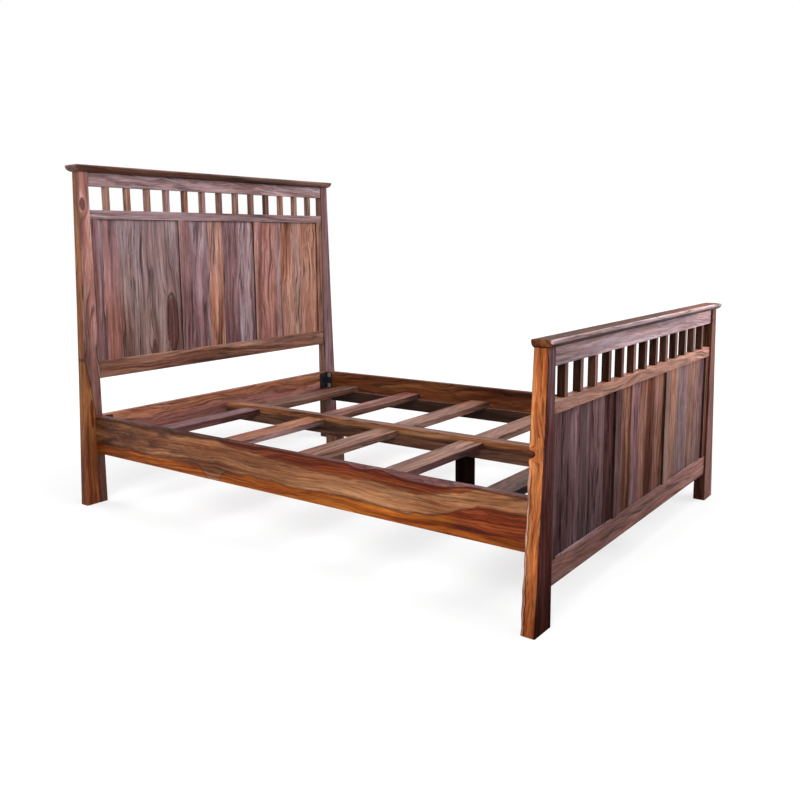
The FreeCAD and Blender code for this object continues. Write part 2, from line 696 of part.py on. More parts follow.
def make_side_rail(side, live_edge):
    """Side rail with rounded top edges, a stub tongue at each end and bolt holes."""
    middle = SIDE_RAIL_INNER + S["side_rail_thick"] / 2
    body = add_body("side_rail_" + side, x=middle if side == "right" else -middle,
                    z=S["side_rail_low"])
    half = S["side_rail_thick"] / 2
    height = S["side_rail_height"]
    section = add_sketch(body, "XZ_Plane", "section")
    add_rectangle(section, -half, half, 0, height)
    pad = add_pad(body, section, S["bay_length"], "blank", both_ways=True)
    top_edges = [name for name in straight_edges(pad, ALONG_Y)
                 if pad.Shape.getElement(name).BoundBox.ZMin > height.number / 2]
    dress_edges(body, "PartDesign::Fillet", pad, top_edges, S["side_rail_round"], "top_rounding")
    shoulder = S["tenon_shoulder"]
    tongue = add_sketch(body, "XZ_Plane", "tongue")
    add_rectangle(tongue, shoulder - half, half - shoulder,
                  S["side_rail_shoulder"], height - S["side_rail_shoulder"])
    add_pad(body, tongue, S["bay_length"] + S["side_rail_tongue"] * 2, "tongues", both_ways=True)
    if live_edge:
        cut_live_edge(body, "long_wane", S["wane_place"], S["wane_length"], S["wane_drop"])
        cut_live_edge(body, "short_wane", S["little_wane_place"], S["little_wane_length"],
                      S["little_wane_drop"])
    cut_bolt_holes(body, side)
    finish(body)


def scoop_section(body, name, offset, place, length, drop):
    """Upright section of a live edge: an arc that dips below the rail's top."""
    sketch = add_sketch(body, "YZ_Plane", name, offset)
    top = S["side_rail_height"]
    above = top + S["overrun"]
    before = -place - length / 2
    after = length / 2 - place
    radius = length * length / (drop * 8) + drop / 2
    add_arc_outline(sketch, (before, top), vector_at((-place, top - drop)), (after, top),
                    [(after, above), (before, above)], radius)
    return sketch


def cut_live_edge(body, name, place, length, drop):
    """The tree's own edge: a sloping scoop, deep outside and run out at the inner face."""
    half = S["side_rail_thick"] / 2
    outer = scoop_section(body, name + "_outer", -half, place, length, drop)
    inner = scoop_section(body, name + "_inner", half, place, length, S["wane_run_out"])
    before = body.Shape.Volume
    loft = body.newObject("PartDesign::SubtractiveLoft", name)
    loft.Profile = outer
    loft.Sections = [inner]
    loft.Ruled = True
    DOC.recompute()
    if loft.Shape.Volume >= before:
        raise RuntimeError("%s cuts nothing" % name)


def cut_bolt_holes(body, side):
    """Holes for the corner bolts, bored from the rail's inner face."""
    half = S["side_rail_thick"] / 2
    offset = -half if side == "right" else half
    sketch = add_sketch(body, "YZ_Plane", "bolt_holes", offset)
    radius = S["bolt_radius"] + S["joint_play"]
    head_y = HALF_BAY - S["bolt_offset"]
    foot_y = HALF_BAY - FOOT_CROSS_PROUD - S["bolt_offset"]
    for y in (head_y, -foot_y):
        for z in hole_heights(S["side_rail_low"]):
            add_circle(sketch, y, z, radius)
    add_pocket(body, sketch, S["bolt_length"] + S["joint_play"] * 2, "bolt_hole_cut",
               backwards=side == "right")


def make_side_ledger(side):
    """Ledger on a side rail's inner face, its top under the slats."""
    middle = SIDE_RAIL_INNER - S["side_ledger_thick"] / 2
    body = add_body("side_ledger_" + side, x=middle if side == "right" else -middle,
                    z=S["slat_seat"] - S["side_ledger_height"])
    half = S["side_ledger_thick"] / 2
    section = add_sketch(body, "XZ_Plane", "section")
    add_rectangle(section, -half, half, 0, S["side_ledger_height"])
    pad = add_pad(body, section, S["bay_length"] - S["side_ledger_gap"] * 2, "blank",
                  both_ways=True)
    chamfer_along(body, pad, ALONG_Y, S["frame_arris"])
    finish(body)


def make_cross_rail(end):
    """Cross rail between the posts, with a housing for the centre rail's end."""
    at_head = end == "head"
    place = HALF_BAY + S["cross_rail_thick"] / 2
    if not at_head:
        place = -(HALF_BAY - FOOT_CROSS_PROUD + S["cross_rail_thick"] / 2)
    body = add_body(end + "_cross_rail", y=place, z=S["side_rail_low"])
    half = S["cross_rail_thick"] / 2
    height = S["side_rail_height"]
    section = add_sketch(body, "YZ_Plane", "section")
    add_rectangle(section, -half, half, 0, height)
    pad = add_pad(body, section, S["clear_width"], "blank", both_ways=True)
    chamfer_along(body, pad, ALONG_X, S["frame_arris"])
    play = S["joint_play"]
    if at_head:
        tongue = add_sketch(body, "YZ_Plane", "tongue")
        half_tenon = S["tenon_thick"] / 2
        add_rectangle(tongue, -half_tenon, half_tenon, S["tenon_shoulder"],
                      height - S["tenon_shoulder"])
        add_pad(body, tongue, S["clear_width"] + CROSS_TONGUE * 2, "tongues",
                both_ways=True)
    face = half if at_head else -half
    housing = add_sketch(body, "XZ_Plane", "housing", face)
    half_rail = S["centre_rail_width"] / 2 + play
    low = S["centre_rail_low"] - S["side_rail_low"]
    add_rectangle(housing, -half_rail, half_rail, low - play,
                  low + S["centre_rail_height"] + play)
    add_pocket(body, housing, S["housing_depth"] + play, "housing_cut",
               backwards=not at_head)
    holes = add_sketch(body, "XZ_Plane", "screw_holes", face)
    reach = SIDE_RAIL_INNER - S["screw_offset"]
    for x in (-reach, reach):
        for z in hole_heights(S["side_rail_low"]):
            add_circle(holes, x, z, S["screw_radius"] + play)
    add_pocket(body, holes, S["screw_length"] + play * 2, "screw_hole_cut",
               backwards=not at_head)
    finish(body)


def leg_places():
    half = LEG_PITCH / 2
    return (("head", half), ("foot", -half))


def make_centre_rail():
    """Centre rail, its ends in the cross rails' housings, mortised over the legs."""
    body = add_body("centre_rail", y=CROSS_MIDDLE,
                    z=S["centre_rail_low"])
    half = S["centre_rail_width"] / 2
    section = add_sketch(body, "XZ_Plane", "section")
    add_rectangle(section, -half, half, 0, S["centre_rail_height"])
    pad = add_pad(body, section, CROSS_SPAN + S["housing_depth"] * 2, "blank",
                  both_ways=True)
    chamfer_along(body, pad, ALONG_Y, S["frame_arris"])
    play = S["joint_play"]
    mortises = add_sketch(body, "XY_Plane", "leg_mortises")
    half_width = S["leg_tongue_width"] / 2 + play
    half_run = S["leg_square"] / 2 - S["leg_shoulder"] + play
    for _, y in leg_places():
        place = y - CROSS_MIDDLE
        add_rectangle(mortises, -half_width, half_width, place - half_run, place + half_run)
    add_pocket(body, mortises, S["leg_tongue"] + play * 2, "leg_mortise_cut", backwards=True)
    holes = add_sketch(body, "XY_Plane", "screw_holes")
    for _, y in leg_places():
        place = y - CROSS_MIDDLE + S["leg_square"] / 2 + S["leg_bracket_hole_offset"]
        add_leg_bracket_holes(holes, place)
    add_pocket(body, holes, S["screw_length"] + play * 2, "screw_hole_cut", backwards=True)
    finish(body)


def add_leg_bracket_holes(sketch, place):
    """The two holes of a leaf of a centre leg's bracket, side by side."""
    half = S["leg_bracket_hole_spacing"] / 2
    for x in (-half, half):
        add_circle(sketch, x, place, S["screw_radius"] + S["joint_play"])


def make_centre_ledger(side):
    """Strip on the centre rail's flank, its top under the slats."""
    middle = (S["centre_rail_width"] + S["centre_ledger_thick"]) / 2
    body = add_body("centre_ledger_" + side, x=middle if side == "right" else -middle,
                    z=S["slat_seat"] - S["centre_ledger_height"])
    half = S["centre_ledger_thick"] / 2
    section = add_sketch(body, "XZ_Plane", "section")
    add_rectangle(section, -half, half, 0, S["centre_ledger_height"])
    pad = add_pad(body, section, S["bay_length"] - S["side_ledger_gap"] * 2, "blank",
                  both_ways=True)
    chamfer_along(body, pad, ALONG_Y, S["frame_arris"])
    finish(body)


def make_centre_leg(end, y):
    """Square leg with a tongue in the centre rail and holes for its bracket."""
    body = add_body("centre_leg_" + end, y=y)
    half = S["leg_square"] / 2
    section = add_sketch(body, "XY_Plane", "section")
    add_rectangle(section, -half, half, -half, half)
    pad = add_pad(body, section, S["centre_rail_low"], "blank")
    chamfer_along(body, pad, ALONG_Z, S["post_arris"])
    tongue = add_sketch(body, "XY_Plane", "tongue", S["centre_rail_low"] - S["overrun"])
    half_run = half - S["leg_shoulder"]
    half_width = S["leg_tongue_width"] / 2
    add_rectangle(tongue, -half_width, half_width, -half_run, half_run)
    add_pad(body, tongue, S["leg_tongue"] + S["overrun"], "tongue_pad")
    holes = add_sketch(body, "XZ_Plane", "screw_holes", -half)
    add_leg_bracket_holes(holes, S["centre_rail_low"] - S["leg_bracket_hole_offset"])
    add_pocket(body, holes, S["screw_length"] + S["joint_play"] * 2, "screw_hole_cut",
               backwards=True)
    finish(body)


def make_leg_bracket(end, y):
    """Steel angle under the centre rail, against the leg's face towards the head."""
    body = add_body("centre_leg_bracket_" + end, y=y + S["leg_square"] / 2,
                    z=S["centre_rail_low"])
    leaf = S["leg_bracket_leaf"]
    thick = S["steel_thick"]
    section = add_sketch(body, "YZ_Plane", "section")
    add_outline(section, [(0, 0), (0, -leaf), (thick, -leaf), (thick, -thick),
                          (leaf, -thick), (leaf, 0)])
    angle = add_pad(body, section, S["leg_bracket_width"], "angle", both_ways=True)
    free = short_edges_at(angle, "y", leaf) + short_edges_at(angle, "z", -leaf)
    dress_edges(body, "PartDesign::Fillet", angle, free, S["leg_bracket_round"], "free_corners")
    under = add_sketch(body, "XY_Plane", "rail_holes")
    add_leg_bracket_holes(under, S["leg_bracket_hole_offset"])
    add_pocket(body, under, thick * 2, "rail_hole_cut", both_ways=True)
    flank = add_sketch(body, "XZ_Plane", "leg_holes")
    add_leg_bracket_holes(flank, -S["leg_bracket_hole_offset"])
    add_pocket(body, flank, thick * 2, "leg_hole_cut", both_ways=True)
    finish(body)


def make_slats():
    """Half slats from the side ledgers to the centre ledgers, in five pairs."""
    inner = S["centre_rail_width"] / 2 + S["slat_play"]
    outer = SIDE_RAIL_INNER - S["slat_play"]
    middle = (inner + outer) / 2
    half_length = (outer - inner) / 2
    half_width = S["slat_width"] / 2
    last = SLAT_PITCH * (S["slat_count"] - ONE) / 2
    for side, x in (("left", -middle), ("right", middle)):
        for count in range(S["slat_count"].number):
            y = S["slat_shift"] + last - SLAT_PITCH * count
            body = add_body("slat_%s_%d" % (side, count + 1), x=x, y=y, z=S["slat_seat"])
            plan = add_sketch(body, "XY_Plane", "plan")
            add_rectangle(plan, -half_length, half_length, -half_width, half_width)
            pad = add_pad(body, plan, S["slat_thick"], "blank")
            upper = [name for name in straight_edges(pad, ALONG_X)
                     if pad.Shape.getElement(name).BoundBox.ZMin > S["slat_thick"].number / 2]
            dress_edges(body, "PartDesign::Fillet", pad, upper, S["slat_round"], "top_rounding")
            finish(body)


def make_corner_brackets():
    """Steel angle in each corner of the bay; the first one is at the head, on the left."""
    body = add_body("corner_bracket_head_left", x=-SIDE_RAIL_INNER, y=HALF_BAY,
                    z=S["corner_low"])
    rail_leaf = S["corner_rail_leaf"]
    cross_leaf = S["corner_cross_leaf"]
    thick = S["steel_thick"]
    section = add_sketch(body, "XY_Plane", "section")
    add_outline(section, [(0, 0), (0, -rail_leaf), (thick, -rail_leaf), (thick, -thick),
                          (cross_leaf, -thick), (cross_leaf, 0)])
    angle = add_pad(body, section, S["corner_height"], "angle")
    free = short_edges_at(angle, "x", cross_leaf) + short_edges_at(angle, "y", -rail_leaf)
    dress_edges(body, "PartDesign::Fillet", angle, free, S["corner_round"], "free_corners")
    bolt_holes = add_sketch(body, "YZ_Plane", "bolt_holes")
    screw_holes = add_sketch(body, "XZ_Plane", "screw_holes")
    for z in hole_heights(S["corner_low"]):
        add_circle(bolt_holes, -S["bolt_offset"], z, S["bolt_radius"] + S["joint_play"])
        add_circle(screw_holes, S["screw_offset"], z, S["screw_radius"] + S["joint_play"])
    add_pocket(body, bolt_holes, thick * 2, "bolt_hole_cut", both_ways=True)
    add_pocket(body, screw_holes, thick * 2, "screw_hole_cut", both_ways=True)
    finish(body)
    mirror(body, "corner_bracket_head_right", ALONG_X)
    foot = mirror(body, "corner_bracket_foot_left", ALONG_Y, base_y=CROSS_MIDDLE)
    mirror(foot, "corner_bracket_foot_right", ALONG_X)


def spread(body, features, roles):
    """Repeat features across the body's origin planes, one after another."""
    transforms = []
    repeated = body.newObject("PartDesign::MultiTransform", "spread")
    repeated.Originals = features
    for role in roles:
        step = body.newObject("PartDesign::Mirrored", "across_" + role.lower())
        plane = [item for item in body.Origin.OriginFeatures if item.Role == role][0]
        step.MirrorPlane = (plane, [""])
        transforms.append(step)
    repeated.Transformations = transforms
    body.Tip = repeated
    DOC.recompute()


def make_corner_bolts():
    """Square-headed bolts through the brackets into the side rails, two a corner."""
    body = add_body("corner_bolts", y=CROSS_MIDDLE, z=CORNER_MIDDLE)
    body.AllowCompound = True
    y = CROSS_SPAN / 2 - S["bolt_offset"]
    z = S["corner_hole_spacing"] / 2
    face = SIDE_RAIL_INNER - S["steel_thick"]
    half_head = S["bolt_head_square"] / 2
    head = add_sketch(body, "YZ_Plane", "head", -face)
    add_rectangle(head, y - half_head, y + half_head, z - half_head, z + half_head)
    head_pad = add_pad(body, head, S["bolt_head_height"], "head_pad")
    shank = add_sketch(body, "YZ_Plane", "shank", -face)
    add_circle(shank, y, z, S["bolt_radius"])
    shank_pad = add_pad(body, shank, S["bolt_length"] + S["steel_thick"], "shank_pad",
                        backwards=True)
    spread(body, [head_pad, shank_pad], ("XY_Plane", "XZ_Plane", "YZ_Plane"))
    finish(body)


def make_corner_screws():
    """Round-headed screws through the brackets into the cross rails, two a corner."""
    body = add_body("corner_screws", y=CROSS_MIDDLE, z=CORNER_MIDDLE)
    body.AllowCompound = True
    x = SIDE_RAIL_INNER - S["screw_offset"]
    z = S["corner_hole_spacing"] / 2
    face = CROSS_SPAN / 2 - S["steel_thick"]
    head = add_sketch(body, "XZ_Plane", "head", -face)
    add_circle(head, -x, z, S["screw_head_radius"])
    head_pad = add_pad(body, head, S["screw_head_height"], "head_pad")
    shank = add_sketch(body, "XZ_Plane", "shank", -face)
    add_circle(shank, -x, z, S["screw_radius"])
    shank_pad = add_pad(body, shank, S["screw_length"] + S["steel_thick"], "shank_pad",
                        backwards=True)
    spread(body, [head_pad, shank_pad], ("XY_Plane", "XZ_Plane", "YZ_Plane"))
    finish(body)


def make_leg_screws(end, y):
    """Round-headed screws of one centre leg's bracket, into the rail and into the leg."""
    body = add_body("centre_leg_screws_" + end, y=y + S["leg_square"] / 2,
                    z=S["centre_rail_low"])
    body.AllowCompound = True
    offset = S["leg_bracket_hole_offset"]
    x = S["leg_bracket_hole_spacing"] / 2
    thick = S["steel_thick"]
    length = S["screw_length"] + thick
    features = []
    for plane, place in (("XY_Plane", offset), ("XZ_Plane", -offset)):
        for part_name, radius, height, backwards in (
                ("head", S["screw_head_radius"], S["screw_head_height"], True),
                ("shank", S["screw_radius"], length, False)):
            sketch = add_sketch(body, plane, "%s_%s" % (part_name, plane[:2].lower()), -thick)
            add_circle(sketch, x, place, radius)
            features.append(add_pad(body, sketch, height, sketch.Name + "_pad",
                                    backwards=backwards))
    spread(body, features, ("YZ_Plane",))
    finish(body)


def make_bed():
    for board in (Board("head", True), Board("foot", False)):
        make_board(board)
    make_side_rail("left", live_edge=True)
    make_side_rail("right", live_edge=False)
    for end in ("head", "foot"):
        make_cross_rail(end)
    make_centre_rail()
    for side in ("left", "right"):
        make_side_ledger(side)
        make_centre_ledger(side)
    for end, y in leg_places():
        make_centre_leg(end, y)
        make_leg_bracket(end, y)
        make_leg_screws(end, y)
    make_slats()
    make_corner_brackets()
    make_corner_bolts()
    make_corner_screws()


def check_document():
    """Stop if any feature failed or any piece has no sound shape."""
    DOC.recompute()
    for item in DOC.Objects:
        if "Invalid" in item.State or "Error" in item.State:
            raise RuntimeError("%s of %s failed" % (item.Name, item.Label))
    for piece in PIECES:
        if piece.Shape.isNull() or not piece.Shape.isValid():
            raise RuntimeError("%s has no sound shape" % piece.Label)


def export_pieces():
    os.makedirs("parts", exist_ok=True)
    for piece in PIECES:
        piece.Shape.exportStep("parts/%s.step" % piece.Label)
        box = piece.Shape.BoundBox
        print("%-28s %3d solids %12.1f mm3  x %8.1f %8.1f  y %8.1f %8.1f  z %7.1f %7.1f" % (
            piece.Label, len(piece.Shape.Solids), piece.Shape.Volume,
            box.XMin, box.XMax, box.YMin, box.YMax, box.ZMin, box.ZMax))


make_bed()
check_document()
export_pieces()
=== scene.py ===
import math
from dataclasses import dataclass

import bmesh
import bpy
from mathutils import Matrix, Vector


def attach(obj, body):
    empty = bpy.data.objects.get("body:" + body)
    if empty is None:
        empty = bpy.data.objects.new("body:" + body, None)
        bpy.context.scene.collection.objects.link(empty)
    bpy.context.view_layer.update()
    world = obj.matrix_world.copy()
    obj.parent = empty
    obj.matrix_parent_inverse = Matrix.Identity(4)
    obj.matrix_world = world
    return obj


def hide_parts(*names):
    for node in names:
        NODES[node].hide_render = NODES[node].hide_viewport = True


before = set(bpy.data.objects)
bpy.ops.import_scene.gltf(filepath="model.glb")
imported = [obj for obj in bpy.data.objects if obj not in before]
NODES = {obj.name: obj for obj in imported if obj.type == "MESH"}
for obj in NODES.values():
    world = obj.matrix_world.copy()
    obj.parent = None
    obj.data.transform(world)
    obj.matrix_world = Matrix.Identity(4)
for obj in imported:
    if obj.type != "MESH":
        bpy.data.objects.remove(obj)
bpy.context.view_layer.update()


def front_of(name):
    """Where a node's face towards the foot of the bed lies along Y."""
    return round(min(vert.co.y for vert in NODES[name].data.vertices), 4)


def top_of(name):
    """How high a node reaches."""
    return round(max(vert.co.z for vert in NODES[name].data.vertices), 4)


# Camera, worked out from the photograph's perspective

IMAGE_SIZE = 800
FOCAL_PIXELS = 842.06
CENTRE_PIXEL = (367.6, 372.8)
CAMERA_PLACE = (-2.8916, -2.0895, 1.1068)
CAMERA_YAW = 37.79
CAMERA_PITCH = -8.675
CAMERA_ROLL = -0.781
SENSOR = 36.0
CLIP_END = 50


def add_camera():
    """Aim from yaw (from +X towards +Y), pitch and roll, all in degrees."""
    data = bpy.data.cameras.new("camera")
    data.sensor_width = SENSOR
    data.lens = SENSOR * FOCAL_PIXELS / IMAGE_SIZE
    data.shift_x = (IMAGE_SIZE / 2 - CENTRE_PIXEL[0]) / IMAGE_SIZE
    data.shift_y = (CENTRE_PIXEL[1] - IMAGE_SIZE / 2) / IMAGE_SIZE
    data.clip_end = CLIP_END
    camera = bpy.data.objects.new("camera", data)
    yaw, pitch, roll = (math.radians(a) for a in (CAMERA_YAW, CAMERA_PITCH, CAMERA_ROLL))
    forward = Vector((math.cos(pitch) * math.cos(yaw), math.cos(pitch) * math.sin(yaw),
                      math.sin(pitch)))
    level_right = forward.cross(Vector((0, 0, 1))).normalized()
    level_up = level_right.cross(forward)
    right = level_right * math.cos(roll) + level_up * math.sin(roll)
    up = level_up * math.cos(roll) - level_right * math.sin(roll)
    turn = Matrix((right, up, -forward)).transposed()
    camera.matrix_world = Matrix.Translation(CAMERA_PLACE) @ turn.to_4x4()
    bpy.context.scene.collection.objects.link(camera)
    bpy.context.scene.camera = camera


add_camera()

# Small helpers for node trees

# A noise keeps nearly always between these two
NOISE_LOW, NOISE_HIGH = 0.3, 0.7
# Sockets of a Mix node that mixes colours
MIX_SHARE, MIX_FIRST, MIX_SECOND, MIX_RESULT = 0, 6, 7, 2


def tone(red, green, blue):
    """A screen colour of 0 to 255 as the linear colour that a socket takes."""
    linear = []
    for level in (red, green, blue):
        share = level / 255
        linear.append(share / 12.92 if share <= 0.04045 else ((share + 0.055) / 1.055) ** 2.4)
    return (*linear, 1.0)


class Tree:
    """A node tree with short calls for the few kinds of node that the finishes use."""

    def __init__(self, node_tree):
        self.tree = node_tree
        self.tree.nodes.clear()

    def node(self, kind, **settings):
        made = self.tree.nodes.new(kind)
        for name, value in settings.items():
            setattr(made, name, value)
        return made

    def feed(self, socket, value):
        """Link an output to the socket, or set the socket to a value."""
        if hasattr(value, "is_output"):
            self.tree.links.new(value, socket)
        elif value is not None:
            socket.default_value = value

    def math(self, operation, first, second=None):
        made = self.node("ShaderNodeMath", operation=operation)
        for socket, value in zip(made.inputs, (first, second)):
            self.feed(socket, value)
        return made.outputs[0]

    def plus(self, first, second):
        return self.math("ADD", first, second)

    def minus(self, first, second):
        return self.math("SUBTRACT", first, second)

    def times(self, first, second):
        return self.math("MULTIPLY", first, second)

    def gap(self, first, second):
        return self.math("ABSOLUTE", self.minus(first, second))

    def vector_math(self, operation, first, second=None):
        made = self.node("ShaderNodeVectorMath", operation=operation)
        self.feed(made.inputs[0], first)
        self.feed(made.inputs[1], second)
        return made.outputs[0]

    def moved(self, vector, shift):
        return self.vector_math("ADD", vector, shift)

    def away_from(self, vector, other):
        return self.vector_math("SUBTRACT", vector, other)

    def stretched(self, vector, factors):
        return self.vector_math("MULTIPLY", vector, factors)

    def scaled(self, vector, factor):
        made = self.node("ShaderNodeVectorMath", operation="SCALE")
        self.feed(made.inputs[0], vector)
        self.feed(made.inputs["Scale"], factor)
        return made.outputs[0]

    def length(self, vector):
        made = self.node("ShaderNodeVectorMath", operation="LENGTH")
        self.feed(made.inputs[0], vector)
        return made.outputs["Value"]

    def combine(self, x, y, z):
        made = self.node("ShaderNodeCombineXYZ")
        for socket, value in zip(made.inputs, (x, y, z)):
            self.feed(socket, value)
        return made.outputs[0]

    def separate(self, vector):
        made = self.node("ShaderNodeSeparateXYZ")
        self.feed(made.inputs[0], vector)
        return made.outputs

    def noise(self, vector, scale, detail, roughness, color=False):
        made = self.node("ShaderNodeTexNoise")
        self.feed(made.inputs["Vector"], vector)
        made.inputs["Scale"].default_value = scale
        made.inputs["Detail"].default_value = detail
        made.inputs["Roughness"].default_value = roughness
        made.inputs["Distortion"].default_value = 0.0
        return made.outputs["Color" if color else "Fac"]

    def ramp(self, value, stops, interpolation="LINEAR"):
        made = self.node("ShaderNodeValToRGB")
        self.feed(made.inputs[0], value)
        band = made.color_ramp
        band.interpolation = interpolation
        while len(band.elements) > 1:
            band.elements.remove(band.elements[-1])
        for index, (place, color) in enumerate(stops):
            element = band.elements[0] if index == 0 else band.elements.new(place)
            element.position = place
            element.color = color
        return made.outputs[0]

    def mix(self, share, first, second, blend="MIX"):
        made = self.node("ShaderNodeMix", data_type="RGBA", blend_type=blend, clamp_factor=True)
        self.feed(made.inputs[MIX_SHARE], share)
        self.feed(made.inputs[MIX_FIRST], first)
        self.feed(made.inputs[MIX_SECOND], second)
        return made.outputs[MIX_RESULT]

    def tinted(self, color, tint):
        return self.mix(1.0, color, tint, "MULTIPLY")

    def spread(self, value, low, high, new_low=0.0, new_high=1.0, smooth=False):
        """The range from low to high as the range from new_low to new_high, clamped."""
        made = self.node("ShaderNodeMapRange",
                         interpolation_type="SMOOTHSTEP" if smooth else "LINEAR", clamp=True)
        self.feed(made.inputs["Value"], value)
        for name, number in (("From Min", low), ("From Max", high),
                             ("To Min", new_low), ("To Max", new_high)):
            made.inputs[name].default_value = number
        return made.outputs[0]

    def wander(self, noise, reach):
        """A noise as an offset of up to reach either way."""
        return self.spread(noise, NOISE_LOW, NOISE_HIGH, -reach, reach)


def plain_grey(level):
    return (level, level, level, 1.0)


# Lacquered rosewood: growth bands round a pith, warped, with ink lines, streaks and pores

GRAIN_TURN = {
    "X": (0, -math.pi / 2, 0),
    "Y": (math.pi / 2, 0, 0),
    "Z": (0, 0, 0),
}

# Noises drawn out along the grain: (its scale along the grain as a share of the scale across,
# scale, detail, roughness)
SWING = (0.5, 6.0, 2.0, 0.5)
SHIVER = (0.14, 40.0, 3.0, 0.6)
BREAKS = (0.3, 22.0, 2.0, 0.5)
STREAK = (0.035, 75.0, 4.0, 0.75)
PORE = (0.04, 620.0, 1.0, 0.5)
DRIFT = (0.25, 9.0, 2.0, 0.5)
HUE = (0.04, 38.0, 3.0, 0.6)
SHIVER_REACH = 0.008

# Noises that follow the rings: (per ring, per metre of length, slice, detail, roughness)
BAND = (0.45, 0.6, 7.3, 4.0, 0.66)
LINE = (1.0, 0.9, 2.1, 2.0, 0.5)
# An ink line is full up to the first distance from the noise's middle, and gone at the second
LINE_HALF = (0.006, 0.03)
# and it breaks off where the noise along the board falls from the second to the first
LINE_SHOWS = (0.36, 0.54)


def group_with(name, inputs, outputs):
    """A new shader group with the given inputs (name, vector or number) and outputs."""
    group = bpy.data.node_groups.new(name, "ShaderNodeTree")
    for label, value in inputs:
        kind = "NodeSocketVector" if isinstance(value, tuple) else "NodeSocketFloat"
        socket = group.interface.new_socket(label, in_out="INPUT", socket_type=kind)
        socket.default_value = value
    for label in outputs:
        group.interface.new_socket(label, in_out="OUTPUT", socket_type="NodeSocketFloat")
    return group


def along_grain(t, place, figure, color=False):
    """A noise drawn out along Z."""
    stretch, scale, detail, roughness = figure
    return t.noise(t.stretched(place, (1.0, 1.0, stretch)), scale, detail, roughness, color)


def over_rings(t, count, along, figure):
    """A noise that changes with the count of rings and slowly along the board."""
    per_ring, per_metre, level, detail, roughness = figure
    place = t.combine(t.times(count, per_ring), t.times(along, per_metre), level)
    return t.noise(place, 1.0, detail, roughness)


def growth_group():
    """The growth figure of a board whose grain runs along Z: Band, broad bands from 0 to 1;
    Line, thin ink lines along the rings; Streak, fine stripes; Pore, dots; Drift, slow
    changes; Hue, stripes from warm to cool."""
    group = group_with("growth_figure",
                       [("Place", (0, 0, 0)), ("Pith", (0, 0, 0)), ("Lean", (0, 0, 0)),
                        ("Rings", 0.0), ("Swirl", 0.0), ("Bend", 0.0)],
                       ["Band", "Line", "Streak", "Pore", "Drift", "Hue"])
    t = Tree(group)
    given = t.node("NodeGroupInput").outputs
    place = given["Place"]
    middle = (0.5, 0.5, 0.5)

    # Slow warp along the grain, then a finer one
    swing = t.away_from(along_grain(t, place, SWING, color=True), middle)
    warped = t.moved(place, t.scaled(swing, given["Swirl"]))
    shiver = t.away_from(along_grain(t, place, SHIVER, color=True), middle)
    warped = t.moved(warped, t.scaled(shiver, SHIVER_REACH))

    # Distance from the leaning pith, counted in rings
    along = t.separate(warped)[2]
    pith = t.moved(given["Pith"], t.scaled(given["Lean"], along))
    away = t.separate(t.away_from(warped, pith))
    radius = t.length(t.combine(away[0], away[1], 0.0))
    count = t.plus(t.times(radius, given["Rings"]), given["Bend"])

    # Bands and ink lines follow the rings but come and go along the board
    band = t.spread(over_rings(t, count, along, BAND), NOISE_LOW, NOISE_HIGH)
    line = t.gap(over_rings(t, count, along, LINE), 0.5)
    line = t.spread(line, *LINE_HALF, 1.0, 0.0, smooth=True)
    line = t.times(line, t.spread(along_grain(t, place, BREAKS), *LINE_SHOWS))

    end = t.node("NodeGroupOutput")
    for name, value in (("Band", band), ("Line", line),
                        ("Streak", along_grain(t, warped, STREAK)),
                        ("Pore", along_grain(t, place, PORE)),
                        ("Drift", along_grain(t, place, DRIFT)),
                        ("Hue", along_grain(t, warped, HUE))):
        t.feed(end.inputs[name], value)
    return group


GROWTH = growth_group()

# Colours of the woods, dark, middle and light, on a scale of 0 to 255

PALETTE = {
    "orange": ((112, 48, 20), (192, 110, 60), (218, 148, 94)),
    "painted_highlight": ((160, 132, 134), (214, 186, 190), (234, 214, 218)),
    "ash": ((110, 82, 84), (148, 120, 124), (174, 152, 158)),
    "honey": ((84, 42, 18), (140, 86, 48), (172, 116, 72)),
    "khaki": ((70, 36, 22), (126, 77, 50), (172, 120, 82)),
    "ginger": ((60, 24, 7), (138, 66, 16), (182, 104, 38)),
    "flame": ((48, 15, 7), (102, 39, 17), (152, 77, 38)),
    "russet": ((90, 46, 34), (146, 92, 68), (178, 124, 98)),
    "umber": ((70, 41, 34), (116, 79, 68), (146, 107, 94)),
    "chestnut": ((44, 18, 11), (80, 40, 29), (110, 64, 50)),
    "walnut": ((44, 27, 19), (86, 57, 42), (118, 85, 64)),
    "amber": ((60, 26, 11), (120, 64, 34), (156, 98, 58)),
    "copper": ((110, 66, 50), (150, 104, 86), (178, 132, 114)),
    "rust": ((98, 52, 44), (138, 90, 80), (166, 118, 110)),
    "tan": ((98, 66, 56), (142, 106, 96), (170, 136, 126)),
    "olive": ((88, 62, 56), (130, 102, 96), (158, 132, 128)),
    "brown": ((62, 36, 26), (112, 76, 62), (146, 110, 96)),
    "pink": ((88, 54, 48), (138, 98, 92), (170, 132, 126)),
    "mauve": ((86, 53, 52), (125, 91, 92), (152, 122, 126)),
    "grey": ((94, 68, 69), (134, 108, 110), (158, 136, 142)),
    "plum": ((74, 43, 43), (112, 80, 82), (140, 110, 114)),
    "liver": ((46, 22, 22), (84, 48, 46), (108, 72, 72)),
    "dusk": ((28, 14, 9), (58, 35, 22), (86, 58, 44)),
    "soot": ((12, 7, 6), (26, 17, 15), (44, 30, 26)),
}
DARK, MIDDLE, LIGHT = range(3)
# Where along the bands each of the three is reached
DARK_AT, MIDDLE_AT, LIGHT_AT = 0.05, 0.35, 0.75

